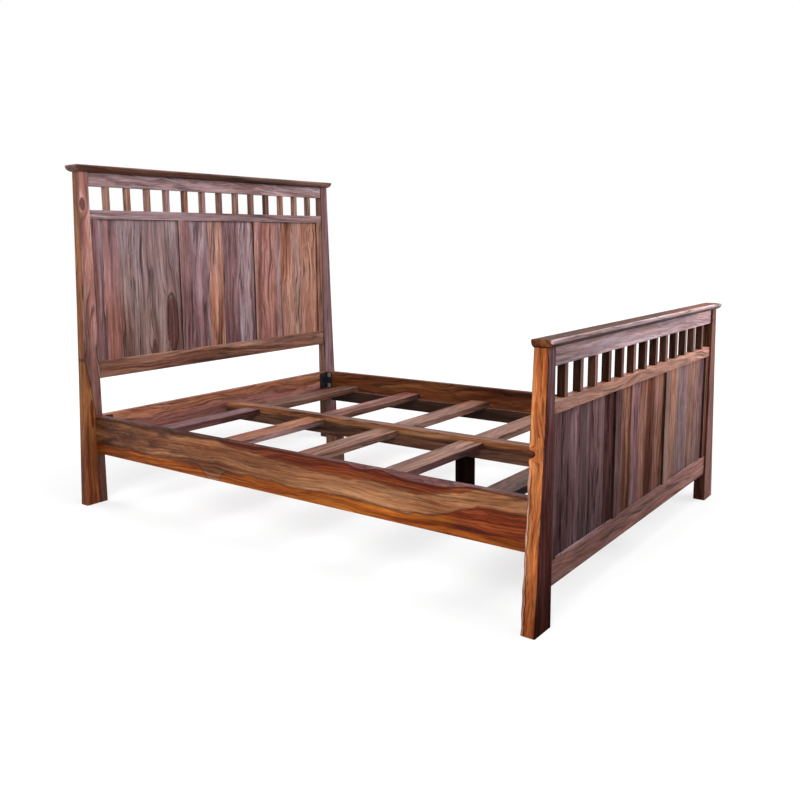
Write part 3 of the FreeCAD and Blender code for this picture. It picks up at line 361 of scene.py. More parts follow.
# How a figure changes the colour: (figure, tint where it is low, tint where it is high)
TINTS = (("Drift", (0.74, 0.67, 0.66, 1), (1.18, 1.21, 1.22, 1)),
         ("Streak", (0.5, 0.39, 0.37, 1), (1.36, 1.46, 1.5, 1)),
         ("Hue", (1.12, 0.97, 0.86, 1), (0.93, 1.0, 1.05, 1)),
         ("Pore", (0.88, 0.85, 0.85, 1), (1.1, 1.12, 1.12, 1)))
TINT_RANGE = (0.32, 0.68)

ROUGH_LOW = 0.36
ROUGH_HIGH = 0.55
SATIN = 0.1
BUMP_STRENGTH = 0.3
BUMP_DEPTH = 0.0006
# A face is turned along an axis from this share of its normal on
TURNED = 0.75
# How far along the grain the figure of the next seed lies
SEED_STEP = 3.7

# Glued strips: how far their joints wander, and where in the wood each next strip is cut
JOINT_WANDER = 0.009
FIRST_STRIP, STRIP_STEP = 0.13, 0.37
STRIP_SHIFT = (0.5, 0.12, 11.0)

# Knots: how uneven, soft and strong they are, their streaks, their rim, and how closely the
# rings are pushed aside round them
KNOT_UNEVEN = 0.2
KNOT_EDGE = (1.0, 0.86)
KNOT_STRENGTH = 0.9
KNOT_STREAKS = 0.65
RIM = (0.02, 0.1)
RIM_STRENGTH = 0.7
PUSH_NARROWNESS = 0.6


def tone_of(name, level):
    return tone(*PALETTE[name][level])


def paint(t, band, name):
    """One wood's colours along its bands."""
    return t.ramp(band, [(DARK_AT, tone_of(name, DARK)), (MIDDLE_AT, tone_of(name, MIDDLE)),
                         (LIGHT_AT, tone_of(name, LIGHT)), (1.0, tone_of(name, MIDDLE))])


@dataclass
class Knot:
    """A dark figure with a darker rim; push is how many rings give way to it."""

    centre: tuple
    half: tuple
    color: str
    push: float

    def reach(self, t, spot):
        """Distance from the knot's centre, 1 at its outline."""
        return t.length(t.vector_math("DIVIDE", t.away_from(spot, self.centre), self.half))


@dataclass
class Wood:
    """One board's finish: its material's name, its grain's direction, its colours and its
    growth figure.

    flank, top and under name other colours for faces that look along X, up and down; the dark
    flank and under colours paint shade in recesses and below, and the orange and honey flanks
    of the near posts paint the light on their lit sides.
    Its stain and shade value darkens or lightens the whole board, partly as a stain and partly
    as painted light and shade for how brightly the board is lit, and satin is its lacquer's
    shine.
    pith and lean place the middle of the rings across and along the grain, rings counts
    them per metre, and swirl and ink say how wild and how dark they are. strips is for
    boards glued edge to edge, (from, to, ((where it begins, colour), ...)) along X.
    extra is a function that adds marks of this one board."""

    name: str
    grain: str
    color: str
    flank: str = None
    top: str = None
    under: str = None
    stain_and_shade: float = 1.0
    satin: float = SATIN
    pith: tuple = (0.0, 0.1)
    lean: tuple = (0.03, 0.02)
    rings: float = 60.0
    swirl: float = 0.035
    ink: float = 0.7
    seed: int = 0
    strips: tuple = None
    knots: tuple = ()
    extra: object = None

    def build(self):
        material = bpy.data.materials.new(self.name)
        material.use_nodes = True
        t = Tree(material.node_tree)
        given = t.node("ShaderNodeTexCoord").outputs
        spot = given["Object"]
        figure, share = self.grow(t, spot)
        if self.strips:
            color = self.strip_colors(t, share, figure["Band"])
        else:
            color = paint(t, figure["Band"], self.color)
        x, _, z = t.separate(given["Normal"])
        color = self.turn(t, color, figure["Band"], self.flank, t.math("ABSOLUTE", x))
        if self.extra:
            color = self.extra(t, color, spot, figure)
        color = self.turn(t, color, figure["Band"], self.top, z)
        color = self.turn(t, color, figure["Band"], self.under, t.times(z, -1.0))
        color = self.add_knots(t, color, spot, figure)
        color = self.shade(t, color, figure)

        shader = t.node("ShaderNodeBsdfPrincipled")
        t.feed(shader.inputs["Base Color"], color)
        t.feed(shader.inputs["Roughness"],
               t.spread(figure["Pore"], NOISE_LOW, NOISE_HIGH, ROUGH_HIGH, ROUGH_LOW))
        shader.inputs["Specular IOR Level"].default_value = self.satin
        bump = t.node("ShaderNodeBump")
        bump.inputs["Strength"].default_value = BUMP_STRENGTH
        bump.inputs["Distance"].default_value = BUMP_DEPTH
        t.feed(bump.inputs["Height"], t.plus(figure["Pore"], figure["Streak"]))
        t.feed(shader.inputs["Normal"], bump.outputs[0])
        out = t.node("ShaderNodeOutputMaterial")
        t.feed(out.inputs[0], shader.outputs[0])
        return material

    def grow(self, t, spot):
        """The board's growth figure, and the share of the way across its glued strips."""
        mapping = t.node("ShaderNodeMapping")
        t.feed(mapping.inputs["Vector"], spot)
        mapping.inputs["Rotation"].default_value = GRAIN_TURN[self.grain]
        place = t.moved(mapping.outputs[0], (0.0, 0.0, SEED_STEP * self.seed))
        share = None
        if self.strips:
            low, high, _ = self.strips
            sway = t.noise(t.stretched(place, (4.0, 0.0, 1.0)), 3.0, 3.0, 0.6)
            across = t.plus(t.separate(spot)[0], t.wander(sway, JOINT_WANDER))
            share = t.spread(across, low, high)
            place = self.move_strips(t, share, place)
        growth = t.node("ShaderNodeGroup", node_tree=GROWTH)
        t.feed(growth.inputs["Place"], place)
        growth.inputs["Pith"].default_value = (*self.pith, 0.0)
        growth.inputs["Lean"].default_value = (*self.lean, 0.0)
        growth.inputs["Rings"].default_value = self.rings
        growth.inputs["Swirl"].default_value = self.swirl
        t.feed(growth.inputs["Bend"], self.bend(t, spot))
        return growth.outputs, share

    def turn(self, t, color, band, other, level):
        """Another colour, where one is named, on the faces that look along an axis."""
        if other is None:
            return color
        return t.mix(t.math("GREATER_THAN", level, TURNED), color, paint(t, band, other))

    def add_knots(self, t, color, spot, figure):
        """Dark figures with a darker rim, uneven where the colour drifts."""
        for knot in self.knots:
            reach = t.plus(knot.reach(t, spot), t.wander(figure["Drift"], KNOT_UNEVEN))
            inside = t.times(t.spread(reach, *KNOT_EDGE, smooth=True), KNOT_STRENGTH)
            heart = paint(t, t.times(figure["Streak"], KNOT_STREAKS), knot.color)
            rim = t.spread(t.gap(reach, 1.0), *RIM, RIM_STRENGTH, 0.0, smooth=True)
            color = t.mix(inside, color, heart)
            color = t.mix(rim, color, tone_of("dusk", DARK))
        return color

    def bend(self, t, spot):
        """Rings pushed aside round each knot."""
        total = None
        for knot in self.knots:
            reach = t.times(knot.reach(t, spot), PUSH_NARROWNESS)
            hill = t.math("EXPONENT", t.times(t.times(reach, reach), -1.0))
            here = t.times(hill, knot.push)
            total = here if total is None else t.plus(total, here)
        return total

    def shade(self, t, color, figure):
        """Ink lines, then slow and fine changes: reddish where dark, greyish where light."""
        color = t.mix(t.times(figure["Line"], self.ink), color, tone_of("soot", MIDDLE))
        for name, low_tint, high_tint in TINTS:
            color = t.tinted(color, t.mix(t.spread(figure[name], *TINT_RANGE),
                                          low_tint, high_tint))
        return t.tinted(color, plain_grey(self.stain_and_shade))

    def strip_stops(self):
        low, high, boards = self.strips
        return [((begin - low) / (high - low), name) for begin, name in boards]

    def move_strips(self, t, share, place):
        """Each glued strip is another piece of wood: its figure is moved far along."""
        levels = [(begin, plain_grey((FIRST_STRIP + STRIP_STEP * index) % 1.0))
                  for index, (begin, _) in enumerate(self.strip_stops())]
        level = t.ramp(share, levels, "CONSTANT")
        return t.moved(place, t.stretched(level, STRIP_SHIFT))

    def strip_colors(self, t, share, band):
        """Dark, middle and light of every strip across the panel, mixed by the bands."""
        dark, middle, light = (
            t.ramp(share, [(begin, tone_of(name, level)) for begin, name in self.strip_stops()],
                   "CONSTANT")
            for level in (DARK, MIDDLE, LIGHT))
        lower = t.mix(t.spread(band, DARK_AT, MIDDLE_AT), dark, middle)
        return t.mix(t.spread(band, MIDDLE_AT, LIGHT_AT), lower, light)


def steel(name, dark, light, metallic, smooth, rough):
    """Plated or coated steel, finely mottled."""
    material = bpy.data.materials.new(name)
    material.use_nodes = True
    t = Tree(material.node_tree)
    speck = t.noise(t.node("ShaderNodeTexCoord").outputs["Object"], 300.0, 3.0, 0.6)
    shader = t.node("ShaderNodeBsdfPrincipled")
    t.feed(shader.inputs["Base Color"],
           t.ramp(speck, [(NOISE_LOW, tone(*dark)), (NOISE_HIGH, tone(*light))]))
    shader.inputs["Metallic"].default_value = metallic
    t.feed(shader.inputs["Roughness"], t.spread(speck, NOISE_LOW, NOISE_HIGH, smooth, rough))
    out = t.node("ShaderNodeOutputMaterial")
    t.feed(out.inputs[0], shader.outputs[0])
    return material


# Marks that several boards share

# Half the width over which one colour passes into the next
BORDER_SOFT = 0.002
# Colours of the painted sheen, a milky reflection on the varnish
PAINTED_SHEEN_PANEL = (205, 195, 215)
PAINTED_SHEEN_POST = (180, 150, 155)
# Painted shade low on the posts: where it fades out upwards, how unevenly, and its tint
FLOOR_SHADE_FADE = (0.5, 0.12)
FLOOR_SHADE_UNEVEN = 0.08
FLOOR_SHADE_TINT = (0.6, 0.45, 0.38, 1.0)


def border_line(t, along, points):
    """A border between two colours that wanders along a board, through the points."""
    low, high = points[0][0], points[-1][0]
    stops = [((place - low) / (high - low), plain_grey(level)) for place, level in points]
    return t.ramp(t.spread(along, low, high), stops)


def above(t, level, border, soft=BORDER_SOFT):
    """1 where a level lies over a border."""
    return t.spread(t.minus(level, border), -soft, soft)


def seam(t, color, away, wide, strength, ink):
    """A thin line of another colour, by the distance from it."""
    return t.mix(t.spread(away, wide * 0.3, wide, strength, 0.0), color, tone(*ink))


def on_front(t, spot, place):
    """1 on the face towards the foot of the bed that lies at this place along Y."""
    return t.spread(t.separate(spot)[1], place + 0.0015, place + 0.0005)


def painted_light_along(axis, between, levels, then=None, front=None):
    """Painted light and shade: the wood passes from one level of light to the other between two
    places along an axis, on the whole board or only on its front, before any other mark is
    added."""
    def add(t, color, spot, figure):
        level = t.spread(t.separate(spot)["XYZ".index(axis)], *between, *levels)
        toned = t.scaled(color, level)
        if front is not None:
            toned = t.mix(on_front(t, spot, front), color, toned)
        return then(t, toned, spot, figure) if then else toned
    return add


def half_and_half(other_top, height, reach):
    """Another colour above a given height: two-tone wood as on boards sawn through the heart,
    and on the head cap a painted highlight along its top edge.
    """
    def add(t, color, spot, figure):
        level = t.plus(t.separate(spot)[2], t.wander(figure["Drift"], reach))
        upper = t.spread(level, height - BORDER_SOFT, height + BORDER_SOFT)
        return t.mix(upper, color, paint(t, figure["Band"], other_top))
    return add


def painted_shade_near_floor(t, color, spot, figure):
    """Painted shade: the posts grow darker and redder towards the floor."""
    level = t.plus(t.separate(spot)[2], t.wander(figure["Drift"], FLOOR_SHADE_UNEVEN))
    low = t.spread(level, *FLOOR_SHADE_FADE, smooth=True)
    return t.mix(low, color, t.tinted(color, FLOOR_SHADE_TINT))


def painted_sheen_top(t, color, spot, figure):
    """Painted sheen, a milky reflection on the varnish, towards the top of the head panels,
    most on the left.
    """
    x, _, z = t.separate(spot)
    towards_top = t.spread(z, 0.8, 1.22, 0.0, 0.22)
    towards_left = t.spread(x, -0.25, 0.15, 1.0, 0.0)
    return t.mix(t.times(towards_top, towards_left), color, tone(*PAINTED_SHEEN_PANEL))


# The near head post: where its golden wood begins, as (height, place along -X)

HEAD_POST_FRONT = front_of("headboard_post_left")
GOLD_BORDER = ((0.0, 0.789), (0.159, 0.787), (0.296, 0.785), (0.363, 0.78), (0.5, 0.795),
               (0.62, 0.815), (0.8, 0.87))
GOLD_SEAM = (50, 26, 20)
GOLD_UNEVEN = 0.004


def golden_side(t, color, spot, figure):
    """Golden wood runs round the near head post's outer arris, widest near the floor."""
    x, _, z = t.separate(spot)
    outward = t.minus(t.wander(figure["Drift"], GOLD_UNEVEN), x)
    border = border_line(t, z, GOLD_BORDER)
    color = t.mix(above(t, outward, border), color, paint(t, figure["Band"], "honey"))
    color = seam(t, color, t.gap(outward, border), 0.004, 0.7, GOLD_SEAM)
    # Painted shade, darker towards the floor
    return painted_shade_near_floor(t, color, spot, figure)


# The near foot post: its front, its bark pocket, and the pale sapwood on its flank

FOOT_POST_FRONT = front_of("footboard_post_left")
POCKET_HEIGHT = 0.5215
SAPWOOD_BORDER = (-1.056, -1.046)
SAPWOOD_FADE = (0.49, 0.46)
# Where the painted sheen on the front and the painted shadow under the cap reach from their
# lowest to their full strength
POST_SHEEN = (0.58, 0.82)
CAP_SHADOW = (0.74, 0.82)


def sapwood(t, color, y, z, band):
    """Pale wood and a dark line along the inner arris, below the pocket."""
    sway = t.noise(t.combine(0.0, 0.0, z), 14.0, 2.0, 0.6)
    rise = t.minus(y, t.spread(sway, NOISE_LOW, NOISE_HIGH, *SAPWOOD_BORDER))
    below = t.spread(z, *SAPWOOD_FADE)
    pale = t.times(t.spread(rise, -0.001, 0.001, 0.0, 0.6), below)
    color = t.mix(pale, color, paint(t, band, "tan"))
    line = t.spread(t.math("ABSOLUTE", rise), 0.0008, 0.0025, 0.85, 0.0)
    return t.mix(t.times(line, below), color, tone_of("dusk", DARK))


def near_foot_post_marks(t, color, spot, figure):
    """Painted sheen at the top of the front, painted shadow on the flank under the cap,
    sapwood.
    """
    _, y, z = t.separate(spot)
    color = painted_shade_near_floor(t, color, spot, figure)
    front = on_front(t, spot, FOOT_POST_FRONT)
    towards_top = t.spread(z, *POST_SHEEN, 0.0, 0.4)
    color = t.mix(t.times(front, towards_top), color, tone(*PAINTED_SHEEN_POST))
    under_cap = t.times(t.minus(1.0, front), t.spread(z, *CAP_SHADOW))
    color = t.scaled(color, t.spread(under_cap, 0.0, 1.0, 1.0, 0.65))
    return sapwood(t, color, y, z, figure["Band"])


FOOT_CAP_FRONT = front_of("footboard_cap")
FOOT_CAP_TOP = top_of("footboard_cap")


def rounded_front(t, color, spot, figure):
    """The foot cap: dark on its flat top, a painted highlight along the rounding of its front.
    """
    x, y, z = t.separate(spot)
    inward = t.spread(y, FOOT_CAP_FRONT + 0.006, FOOT_CAP_FRONT + 0.010)
    at_top = t.spread(z, FOOT_CAP_TOP - 0.0015, FOOT_CAP_TOP - 0.0005)
    color = t.mix(t.times(inward, at_top), color, paint(t, figure["Band"], "chestnut"))
    near_top = t.spread(z, FOOT_CAP_TOP - 0.013, FOOT_CAP_TOP - 0.008)
    rounding = t.times(t.minus(1.0, inward), near_top)
    color = t.mix(rounding, color, paint(t, figure["Band"], "painted_highlight"))
    # Painted light, stronger towards the right
    towards_right = t.spread(x, -0.7, 0.7, 0.7, 1.15)
    return t.scaled(color, towards_right)


# The left side rail. Its borders between colours are (place along Y, height) from foot to
# head, and the hollows of its live edge (middle, half length, depth)

LOW_BAND_TOP = ((-1.05, 0.327), (-0.93, 0.331), (-0.863, 0.329), (-0.816, 0.312),
                (-0.745, 0.286), (-0.696, 0.272), (-0.594, 0.264), (-0.487, 0.269),
                (-0.375, 0.271), (-0.151, 0.265), (0.09, 0.271), (0.225, 0.266), (0.25, 0.255),
                (0.268, 0.22), (0.33, 0.22), (0.355, 0.25), (0.383, 0.272), (0.492, 0.271),
                (0.625, 0.261), (0.815, 0.273), (1.03, 0.267))
FLAME_FOOT = ((-1.05, 0.257), (-0.896, 0.25), (-0.769, 0.244), (-0.7, 0.2))
RED_EDGE_FOOT = ((-1.05, 0.41), (-0.9, 0.4), (-0.816, 0.37), (-0.745, 0.35), (-0.646, 0.333),
                 (-0.558, 0.339), (-0.461, 0.348), (-0.377, 0.336), (-0.153, 0.343),
                 (-0.03, 0.357), (0.125, 0.364), (0.239, 0.377), (0.3, 0.4))
LIVE_EDGE_HOLLOWS = ((-0.668, 0.163, 0.018), (-0.421, 0.056, 0.009))
RAIL_UNEVEN = 0.004
# Colours of its pale stretch, and of the lines along the low band, the red wood and the edge
PALE_RAIL = (200, 144, 100)
LOW_BAND_SEAM = (70, 32, 18)
RED_EDGE_SEAM = (74, 36, 22)
LIVE_EDGE_INK = (60, 20, 12)
LIVE_EDGE_LINE = top_of("side_rail_left") - 0.004


def smudged_head(t, color, spot, y):
    """Dark smudges, most of them near the head."""
    smudge = t.noise(t.stretched(spot, (1.0, 0.35, 1.0)), 22.0, 3.0, 0.6)
    towards_head = t.spread(y, 0.1, 0.6, 0.35, 0.85)
    return t.mix(t.times(t.spread(smudge, 0.48, 0.68), towards_head), color,
                 tone_of("brown", DARK))


def pale_middle(t, color, y, level):
    """Khaki wood from the middle to the foot, with a paler stretch above the low band."""
    towards_middle = t.spread(y, 0.25, -0.2, 0.0, 0.4)
    color = t.mix(towards_middle, color, tone_of("khaki", LIGHT))
    lower_part = t.spread(level, 0.325, 0.3, 0.0, 0.55)
    stretch = t.times(t.spread(y, 0.25, -0.1), t.spread(y, -0.72, -0.6))
    return t.mix(t.times(lower_part, stretch), color, tone(*PALE_RAIL))


def low_band(t, color, y, level, band):
    """An amber band along the bottom, broken once, that rises as a flame to the foot."""
    border = border_line(t, y, LOW_BAND_TOP)
    towards_foot = t.spread(y, -0.74, -0.8)
    flame = t.times(towards_foot, above(t, level, border_line(t, y, FLAME_FOOT)))
    low_color = t.mix(flame, paint(t, band, "ginger"), paint(t, band, "flame"))
    color = t.mix(t.minus(1.0, above(t, level, border)), color, low_color)
    return seam(t, color, t.gap(level, border), 0.007, 0.6, LOW_BAND_SEAM)


def red_edge(t, color, y, z, level, band):
    """Red wood under the live edge, and a dark line along the edge itself."""
    border = border_line(t, y, RED_EDGE_FOOT)
    color = t.mix(above(t, level, border, 0.007), color, paint(t, band, "flame"))
    color = seam(t, color, t.gap(level, border), 0.006, 0.4, RED_EDGE_SEAM)
    hollows = [t.spread(t.gap(y, middle), half, half * 0.35, 0.0, depth, smooth=True)
               for middle, half, depth in LIVE_EDGE_HOLLOWS]
    edge = t.minus(LIVE_EDGE_LINE, t.plus(*hollows))
    lined = seam(t, color, t.gap(z, edge), 0.006, 0.8, LIVE_EDGE_INK)
    past_the_middle = t.spread(y, 0.3, 0.1)
    return t.mix(past_the_middle, color, lined)


def live_edge_marks(t, color, spot, figure):
    """All marks of the left side rail, which grows darker at both ends."""
    _, y, z = t.separate(spot)
    ripple = t.noise(t.stretched(spot, (1.0, 0.4, 1.0)), 30.0, 2.0, 0.5)
    level = t.plus(z, t.wander(ripple, RAIL_UNEVEN))
    color = smudged_head(t, color, spot, y)
    color = pale_middle(t, color, y, level)
    color = low_band(t, color, y, level, figure["Band"])
    color = red_edge(t, color, y, z, level, figure["Band"])
    towards_head_end = t.spread(y, 0.75, 1.0, 1.0, 0.65)
    color = t.scaled(color, towards_head_end)
    # Painted shade low at the foot end
    low_foot_end = t.times(t.spread(y, -0.85, -1.0), t.spread(z, 0.262, 0.235))
    return t.scaled(color, t.spread(low_foot_end, 0.0, 1.0, 1.0, 0.5))


# Glued panels and the row of spindles: (from, to, ((where each board begins, colour), ...))

HEAD_LEFT_PANEL = (-0.72, -0.26, ((-0.72, "mauve"), (-0.688, "rust"), (-0.612, "olive")))
HEAD_MIDDLE_PANEL = (-0.23, 0.23, ((-0.23, "mauve"), (-0.178, "plum"), (-0.110, "grey"),
                                   (-0.085, "copper"), (0.005, "plum"), (0.110, "grey")))
HEAD_RIGHT_PANEL = (0.26, 0.72, ((0.26, "rust"), (0.385, "grey"), (0.412, "copper"),
                                 (0.515, "tan"), (0.570, "copper")))
HEAD_SPINDLES = (-0.72, 0.72, ((-0.72, "brown"), (-0.41, "mauve"), (-0.3, "copper"),
                               (-0.18, "plum"), (0.1, "copper"), (0.18, "pink"),
                               (0.4, "brown"), (0.52, "tan")))
FOOT_LEFT_PANEL = (-0.72, -0.26, ((-0.72, "plum"), (-0.612, "mauve"), (-0.537, "grey"),
                                  (-0.441, "mauve"), (-0.348, "plum")))
FOOT_MIDDLE_PANEL = (-0.23, 0.23, ((-0.23, "brown"), (-0.103, "mauve"), (-0.035, "umber"),
                                   (0.095, "umber"), (0.190, "brown")))
FOOT_RIGHT_PANEL = (0.26, 0.72, ((0.26, "russet"), (0.34, "tan"), (0.399, "mauve"),
                                 (0.50, "copper"), (0.578, "pink"), (0.66, "plum")))

# Half length of a knot that goes right through its board
THROUGH = 9.0

# In these tables the gradients along a board paint light and shade, the dark flank and under
# colours paint shade, and the stain values partly paint how brightly each board is lit.
HEADBOARD_WOODS = {
    "headboard_post_left": Wood(
        "near_head_post", "Z", "pink", flank="honey", stain_and_shade=0.92, seed=1, rings=80, swirl=0.05,
        pith=(-0.8, 1.2),
        knots=(Knot((-0.783, 1.04, 1.289), (0.012, 0.02, 0.026), "liver", 2.0),
               Knot((-0.799, 1.04, 0.400), (0.009, 0.02, 0.060), "flame", 0.5)),
        extra=painted_light_along("Z", (0.4, 1.25), (0.6, 1.6), golden_side, HEAD_POST_FRONT)),
    "headboard_post_right": Wood(
        "far_head_post", "Z", "mauve", flank="brown", stain_and_shade=0.8, seed=2, pith=(0.8, 1.2),
        extra=painted_shade_near_floor),
    # The pale ash above the rounding of the head cap's top edge is a painted highlight.
    "headboard_cap": Wood(
        "head_cap", "X", "brown", top="brown", stain_and_shade=0.66, seed=3, pith=(-1.5, 1.0),
        extra=half_and_half("ash", 1.4465, 0.001)),
    "headboard_top_rail": Wood(
        "head_top_rail", "X", "grey", stain_and_shade=1.15, seed=4, rings=110, swirl=0.1,
        pith=(-1.25, 1.02), lean=(0.05, 0.03)),
    "headboard_middle_rail": Wood(
        "head_middle_rail", "X", "grey", under="dusk", seed=5, pith=(-1.2, 1.0)),
    "headboard_bottom_rail": Wood(
        "head_bottom_rail", "X", "brown", stain_and_shade=1.15, seed=6, swirl=0.06, pith=(-0.5, 1.0)),
    "headboard_outer_stile_left": Wood(
        "head_stile_a", "Z", "mauve", flank="dusk", seed=7, pith=(-0.73, 1.1)),
    "headboard_outer_stile_right": Wood(
        "head_stile_b", "Z", "brown", flank="dusk", seed=8, pith=(0.73, 1.1)),
    "headboard_inner_stile_left": Wood(
        "head_stile_c", "Z", "mauve", flank="dusk", seed=9, pith=(-0.2, 1.1)),
    "headboard_inner_stile_right": Wood(
        "head_stile_d", "Z", "pink", flank="dusk", seed=10, pith=(0.3, 1.1)),
    "headboard_panel_left": Wood(
        "head_panel_a", "Z", "olive", stain_and_shade=0.95, seed=11, strips=HEAD_LEFT_PANEL,
        pith=(-0.43, 1.1),
        knots=(Knot((-0.323, 1.06, 0.750), (0.036, THROUGH, 0.135), "liver", 3.0),
               Knot((-0.435, 1.06, 0.600), (0.022, THROUGH, 0.100), "liver", 2.0)),
        extra=painted_light_along("Z", (0.6, 0.95), (0.8, 1.0), painted_sheen_top)),
    "headboard_panel_middle": Wood(
        "head_panel_b", "Z", "mauve", stain_and_shade=1.12, seed=12, swirl=0.06, strips=HEAD_MIDDLE_PANEL,
        pith=(0.0, 1.1), extra=painted_light_along("Z", (0.6, 0.95), (0.8, 1.0), painted_sheen_top)),
    "headboard_panel_right": Wood(
        "head_panel_c", "Z", "rust", seed=13, swirl=0.09, strips=HEAD_RIGHT_PANEL,
        pith=(0.5, 1.1)),
    "headboard_spindles": Wood(
        "head_spindles", "Z", "pink", flank="brown", seed=14, strips=HEAD_SPINDLES,
        pith=(0.0, 1.2)),
}

FOOTBOARD_WOODS = {
    "footboard_post_left": Wood(
        "near_foot_post", "Z", "liver", flank="orange", satin=0.0, seed=15, rings=150,
        swirl=0.05, ink=0.6, pith=(-0.9, -1.02),
        knots=(Knot((-0.812, -1.04, POCKET_HEIGHT), (0.019, 0.016, 0.013), "soot", 3.0),),
        extra=painted_light_along("Z", (0.04, 0.24), (0.6, 1.0), near_foot_post_marks)),
    "footboard_post_right": Wood(
        "far_foot_post", "Z", "rust", flank="dusk", stain_and_shade=1.15, satin=0.03, seed=16,
        pith=(0.8, -1.2)),
    "footboard_cap": Wood(
        "foot_cap", "X", "liver", flank="amber", under="dusk", satin=0.03, seed=17,
        pith=(-0.9, -1.1), extra=rounded_front),
    # The foot top rail's raised stain and its brightening towards the right are painted sheen
    # and light.
    "footboard_top_rail": Wood(
        "foot_top_rail", "X", "ash", stain_and_shade=1.6, seed=18, ink=0.4, pith=(-0.7, -1.0),
        extra=painted_light_along("X", (-0.7, 0.7), (0.85, 1.9))),
    "footboard_middle_rail": Wood(
        "foot_middle_rail", "X", "copper", stain_and_shade=1.55, seed=19, swirl=0.06, pith=(-0.6, -1.0),
        extra=painted_light_along("X", (-0.7, 0.7), (0.8, 1.35))),
    # Its pale ash top is a painted highlight along the top arris.
    "footboard_bottom_rail": Wood(
        "foot_bottom_rail", "X", "rust", top="ash", stain_and_shade=0.68, satin=0.03, seed=20,
        swirl=0.06, pith=(-0.1, -1.0), extra=painted_light_along("X", (-0.7, 0.7), (0.85, 1.5))),
    "footboard_outer_stile_left": Wood(
        "foot_stile_a", "Z", "plum", flank="dusk", stain_and_shade=0.5, satin=0.0, seed=21,
        pith=(-0.8, -1.0), extra=painted_light_along("Z", (0.2, 0.6), (0.75, 2.0))),
    "footboard_outer_stile_right": Wood(
        "foot_stile_b", "Z", "rust", flank="dusk", satin=0.03, seed=22, pith=(0.8, -1.0)),
    "footboard_inner_stile_left": Wood(
        "foot_stile_c", "Z", "mauve", flank="dusk", stain_and_shade=0.6, satin=0.0, seed=23,
        pith=(-0.3, -1.0)),
    "footboard_inner_stile_right": Wood(
        "foot_stile_d", "Z", "tan", flank="dusk", satin=0.03, seed=24, pith=(0.3, -1.0)),
    "footboard_panel_left": Wood(
        "foot_panel_a", "Z", "plum", stain_and_shade=0.58, satin=0.0, seed=25, rings=32, swirl=0.08,
        ink=0.75, strips=FOOT_LEFT_PANEL, pith=(-0.5, -1.0),
        extra=painted_light_along("Z", (0.25, 0.6), (0.75, 1.6))),
    "footboard_panel_middle": Wood(
        "foot_panel_b", "Z", "brown", stain_and_shade=1.3, satin=0.0, seed=26, rings=50, swirl=0.06,
        strips=FOOT_MIDDLE_PANEL, pith=(0.0, -1.0),
        extra=painted_light_along("Z", (0.25, 0.6), (0.7, 1.45))),
    "footboard_panel_right": Wood(
        "foot_panel_c", "Z", "pink", satin=0.03, seed=27, rings=80, swirl=0.1, ink=0.9,
        strips=FOOT_RIGHT_PANEL, pith=(1.0, -1.3),
        extra=painted_light_along("Z", (0.25, 0.6), (0.75, 1.35))),
    "footboard_spindles": Wood(
        "foot_spindles", "Z", "pink", flank="dusk", satin=0.03, seed=28, pith=(0.0, -1.2)),
}

BED_FRAME_WOODS = {
    "side_rail_left": Wood(
        "live_edge_rail", "Y", "brown", flank="khaki", top="liver", seed=29, rings=120,
        swirl=0.07, ink=0.6, pith=(-0.9, -0.33), lean=(0.01, 0.03), extra=live_edge_marks),
    "side_rail_right": Wood(
        "plain_rail", "Y", "brown", flank="amber", stain_and_shade=0.62, seed=30, swirl=0.06,
        pith=(0.9, -0.3)),
    "head_cross_rail": Wood(
        "head_cross_rail", "X", "rust", top="rust", stain_and_shade=0.9, seed=31, swirl=0.1,
        pith=(-0.33, 1.0), extra=half_and_half("russet", 0.335, 0.016)),
    "foot_cross_rail": Wood("foot_cross_rail", "X", "brown", seed=32, pith=(-0.33, -1.0)),
    "centre_rail": Wood(
        "centre_rail", "Y", "walnut", top="brown", stain_and_shade=0.9, seed=33, pith=(0.1, -0.3),
        extra=half_and_half("khaki", 0.307, 0.008)),
    "side_ledger_left": Wood("ledger_a", "Y", "brown", seed=34, pith=(-0.7, -0.2)),
    "side_ledger_right": Wood(
        "ledger_b", "Y", "brown", flank="dusk", stain_and_shade=0.6, seed=35, pith=(0.7, -0.2)),
    "centre_ledger_left": Wood("ledger_c", "Y", "walnut", seed=36, pith=(0.0, -0.2)),
    "centre_ledger_right": Wood("ledger_d", "Y", "walnut", seed=37, pith=(0.1, -0.2)),
    "centre_leg_head": Wood("leg_a", "Z", "walnut", seed=38),
    "centre_leg_foot": Wood("leg_b", "Z", "soot", seed=39, satin=0.0),
}

# Colours of each slat's edges and top, and its stain and shade, counted from the head; the dark
# liver edges are painted shade

SLAT_COLORS = {
    "slat_left_1": ("liver", "plum", 0.85), "slat_right_1": ("brown", "brown", 0.85),
    "slat_left_2": ("pink", "russet", 0.85), "slat_right_2": ("brown", "rust", 0.85),
    "slat_left_3": ("brown", "brown", 1.05), "slat_right_3": ("brown", "brown", 1.05),
    "slat_left_4": ("liver", "brown", 0.98), "slat_right_4": ("brown", "brown", 1.05),
    "slat_left_5": ("liver", "brown", 0.85), "slat_right_5": ("liver", "brown", 0.9),
}
FIRST_SLAT_SEED = 50
# Painted shade: where the edges of the slats on each side grow darker, towards the rail that
# their ends rest by, along X
SLAT_SHADE_SPAN = {"left": (-0.4, -0.05), "right": (0.35, 0.7)}


def slat_woods():
    woods = {}
    for index, (name, (edge, top, stain_and_shade)) in enumerate(SLAT_COLORS.items()):
        side = name.split("_")[1]
        woods[name] = Wood(
            name + "_wood", "X", edge, top=top, stain_and_shade=stain_and_shade, seed=FIRST_SLAT_SEED + index,
            rings=50, swirl=0.05, pith=(-0.35, 0.1 * index),
            extra=painted_light_along("X", SLAT_SHADE_SPAN[side], (1.0, 0.5)))
    return woods


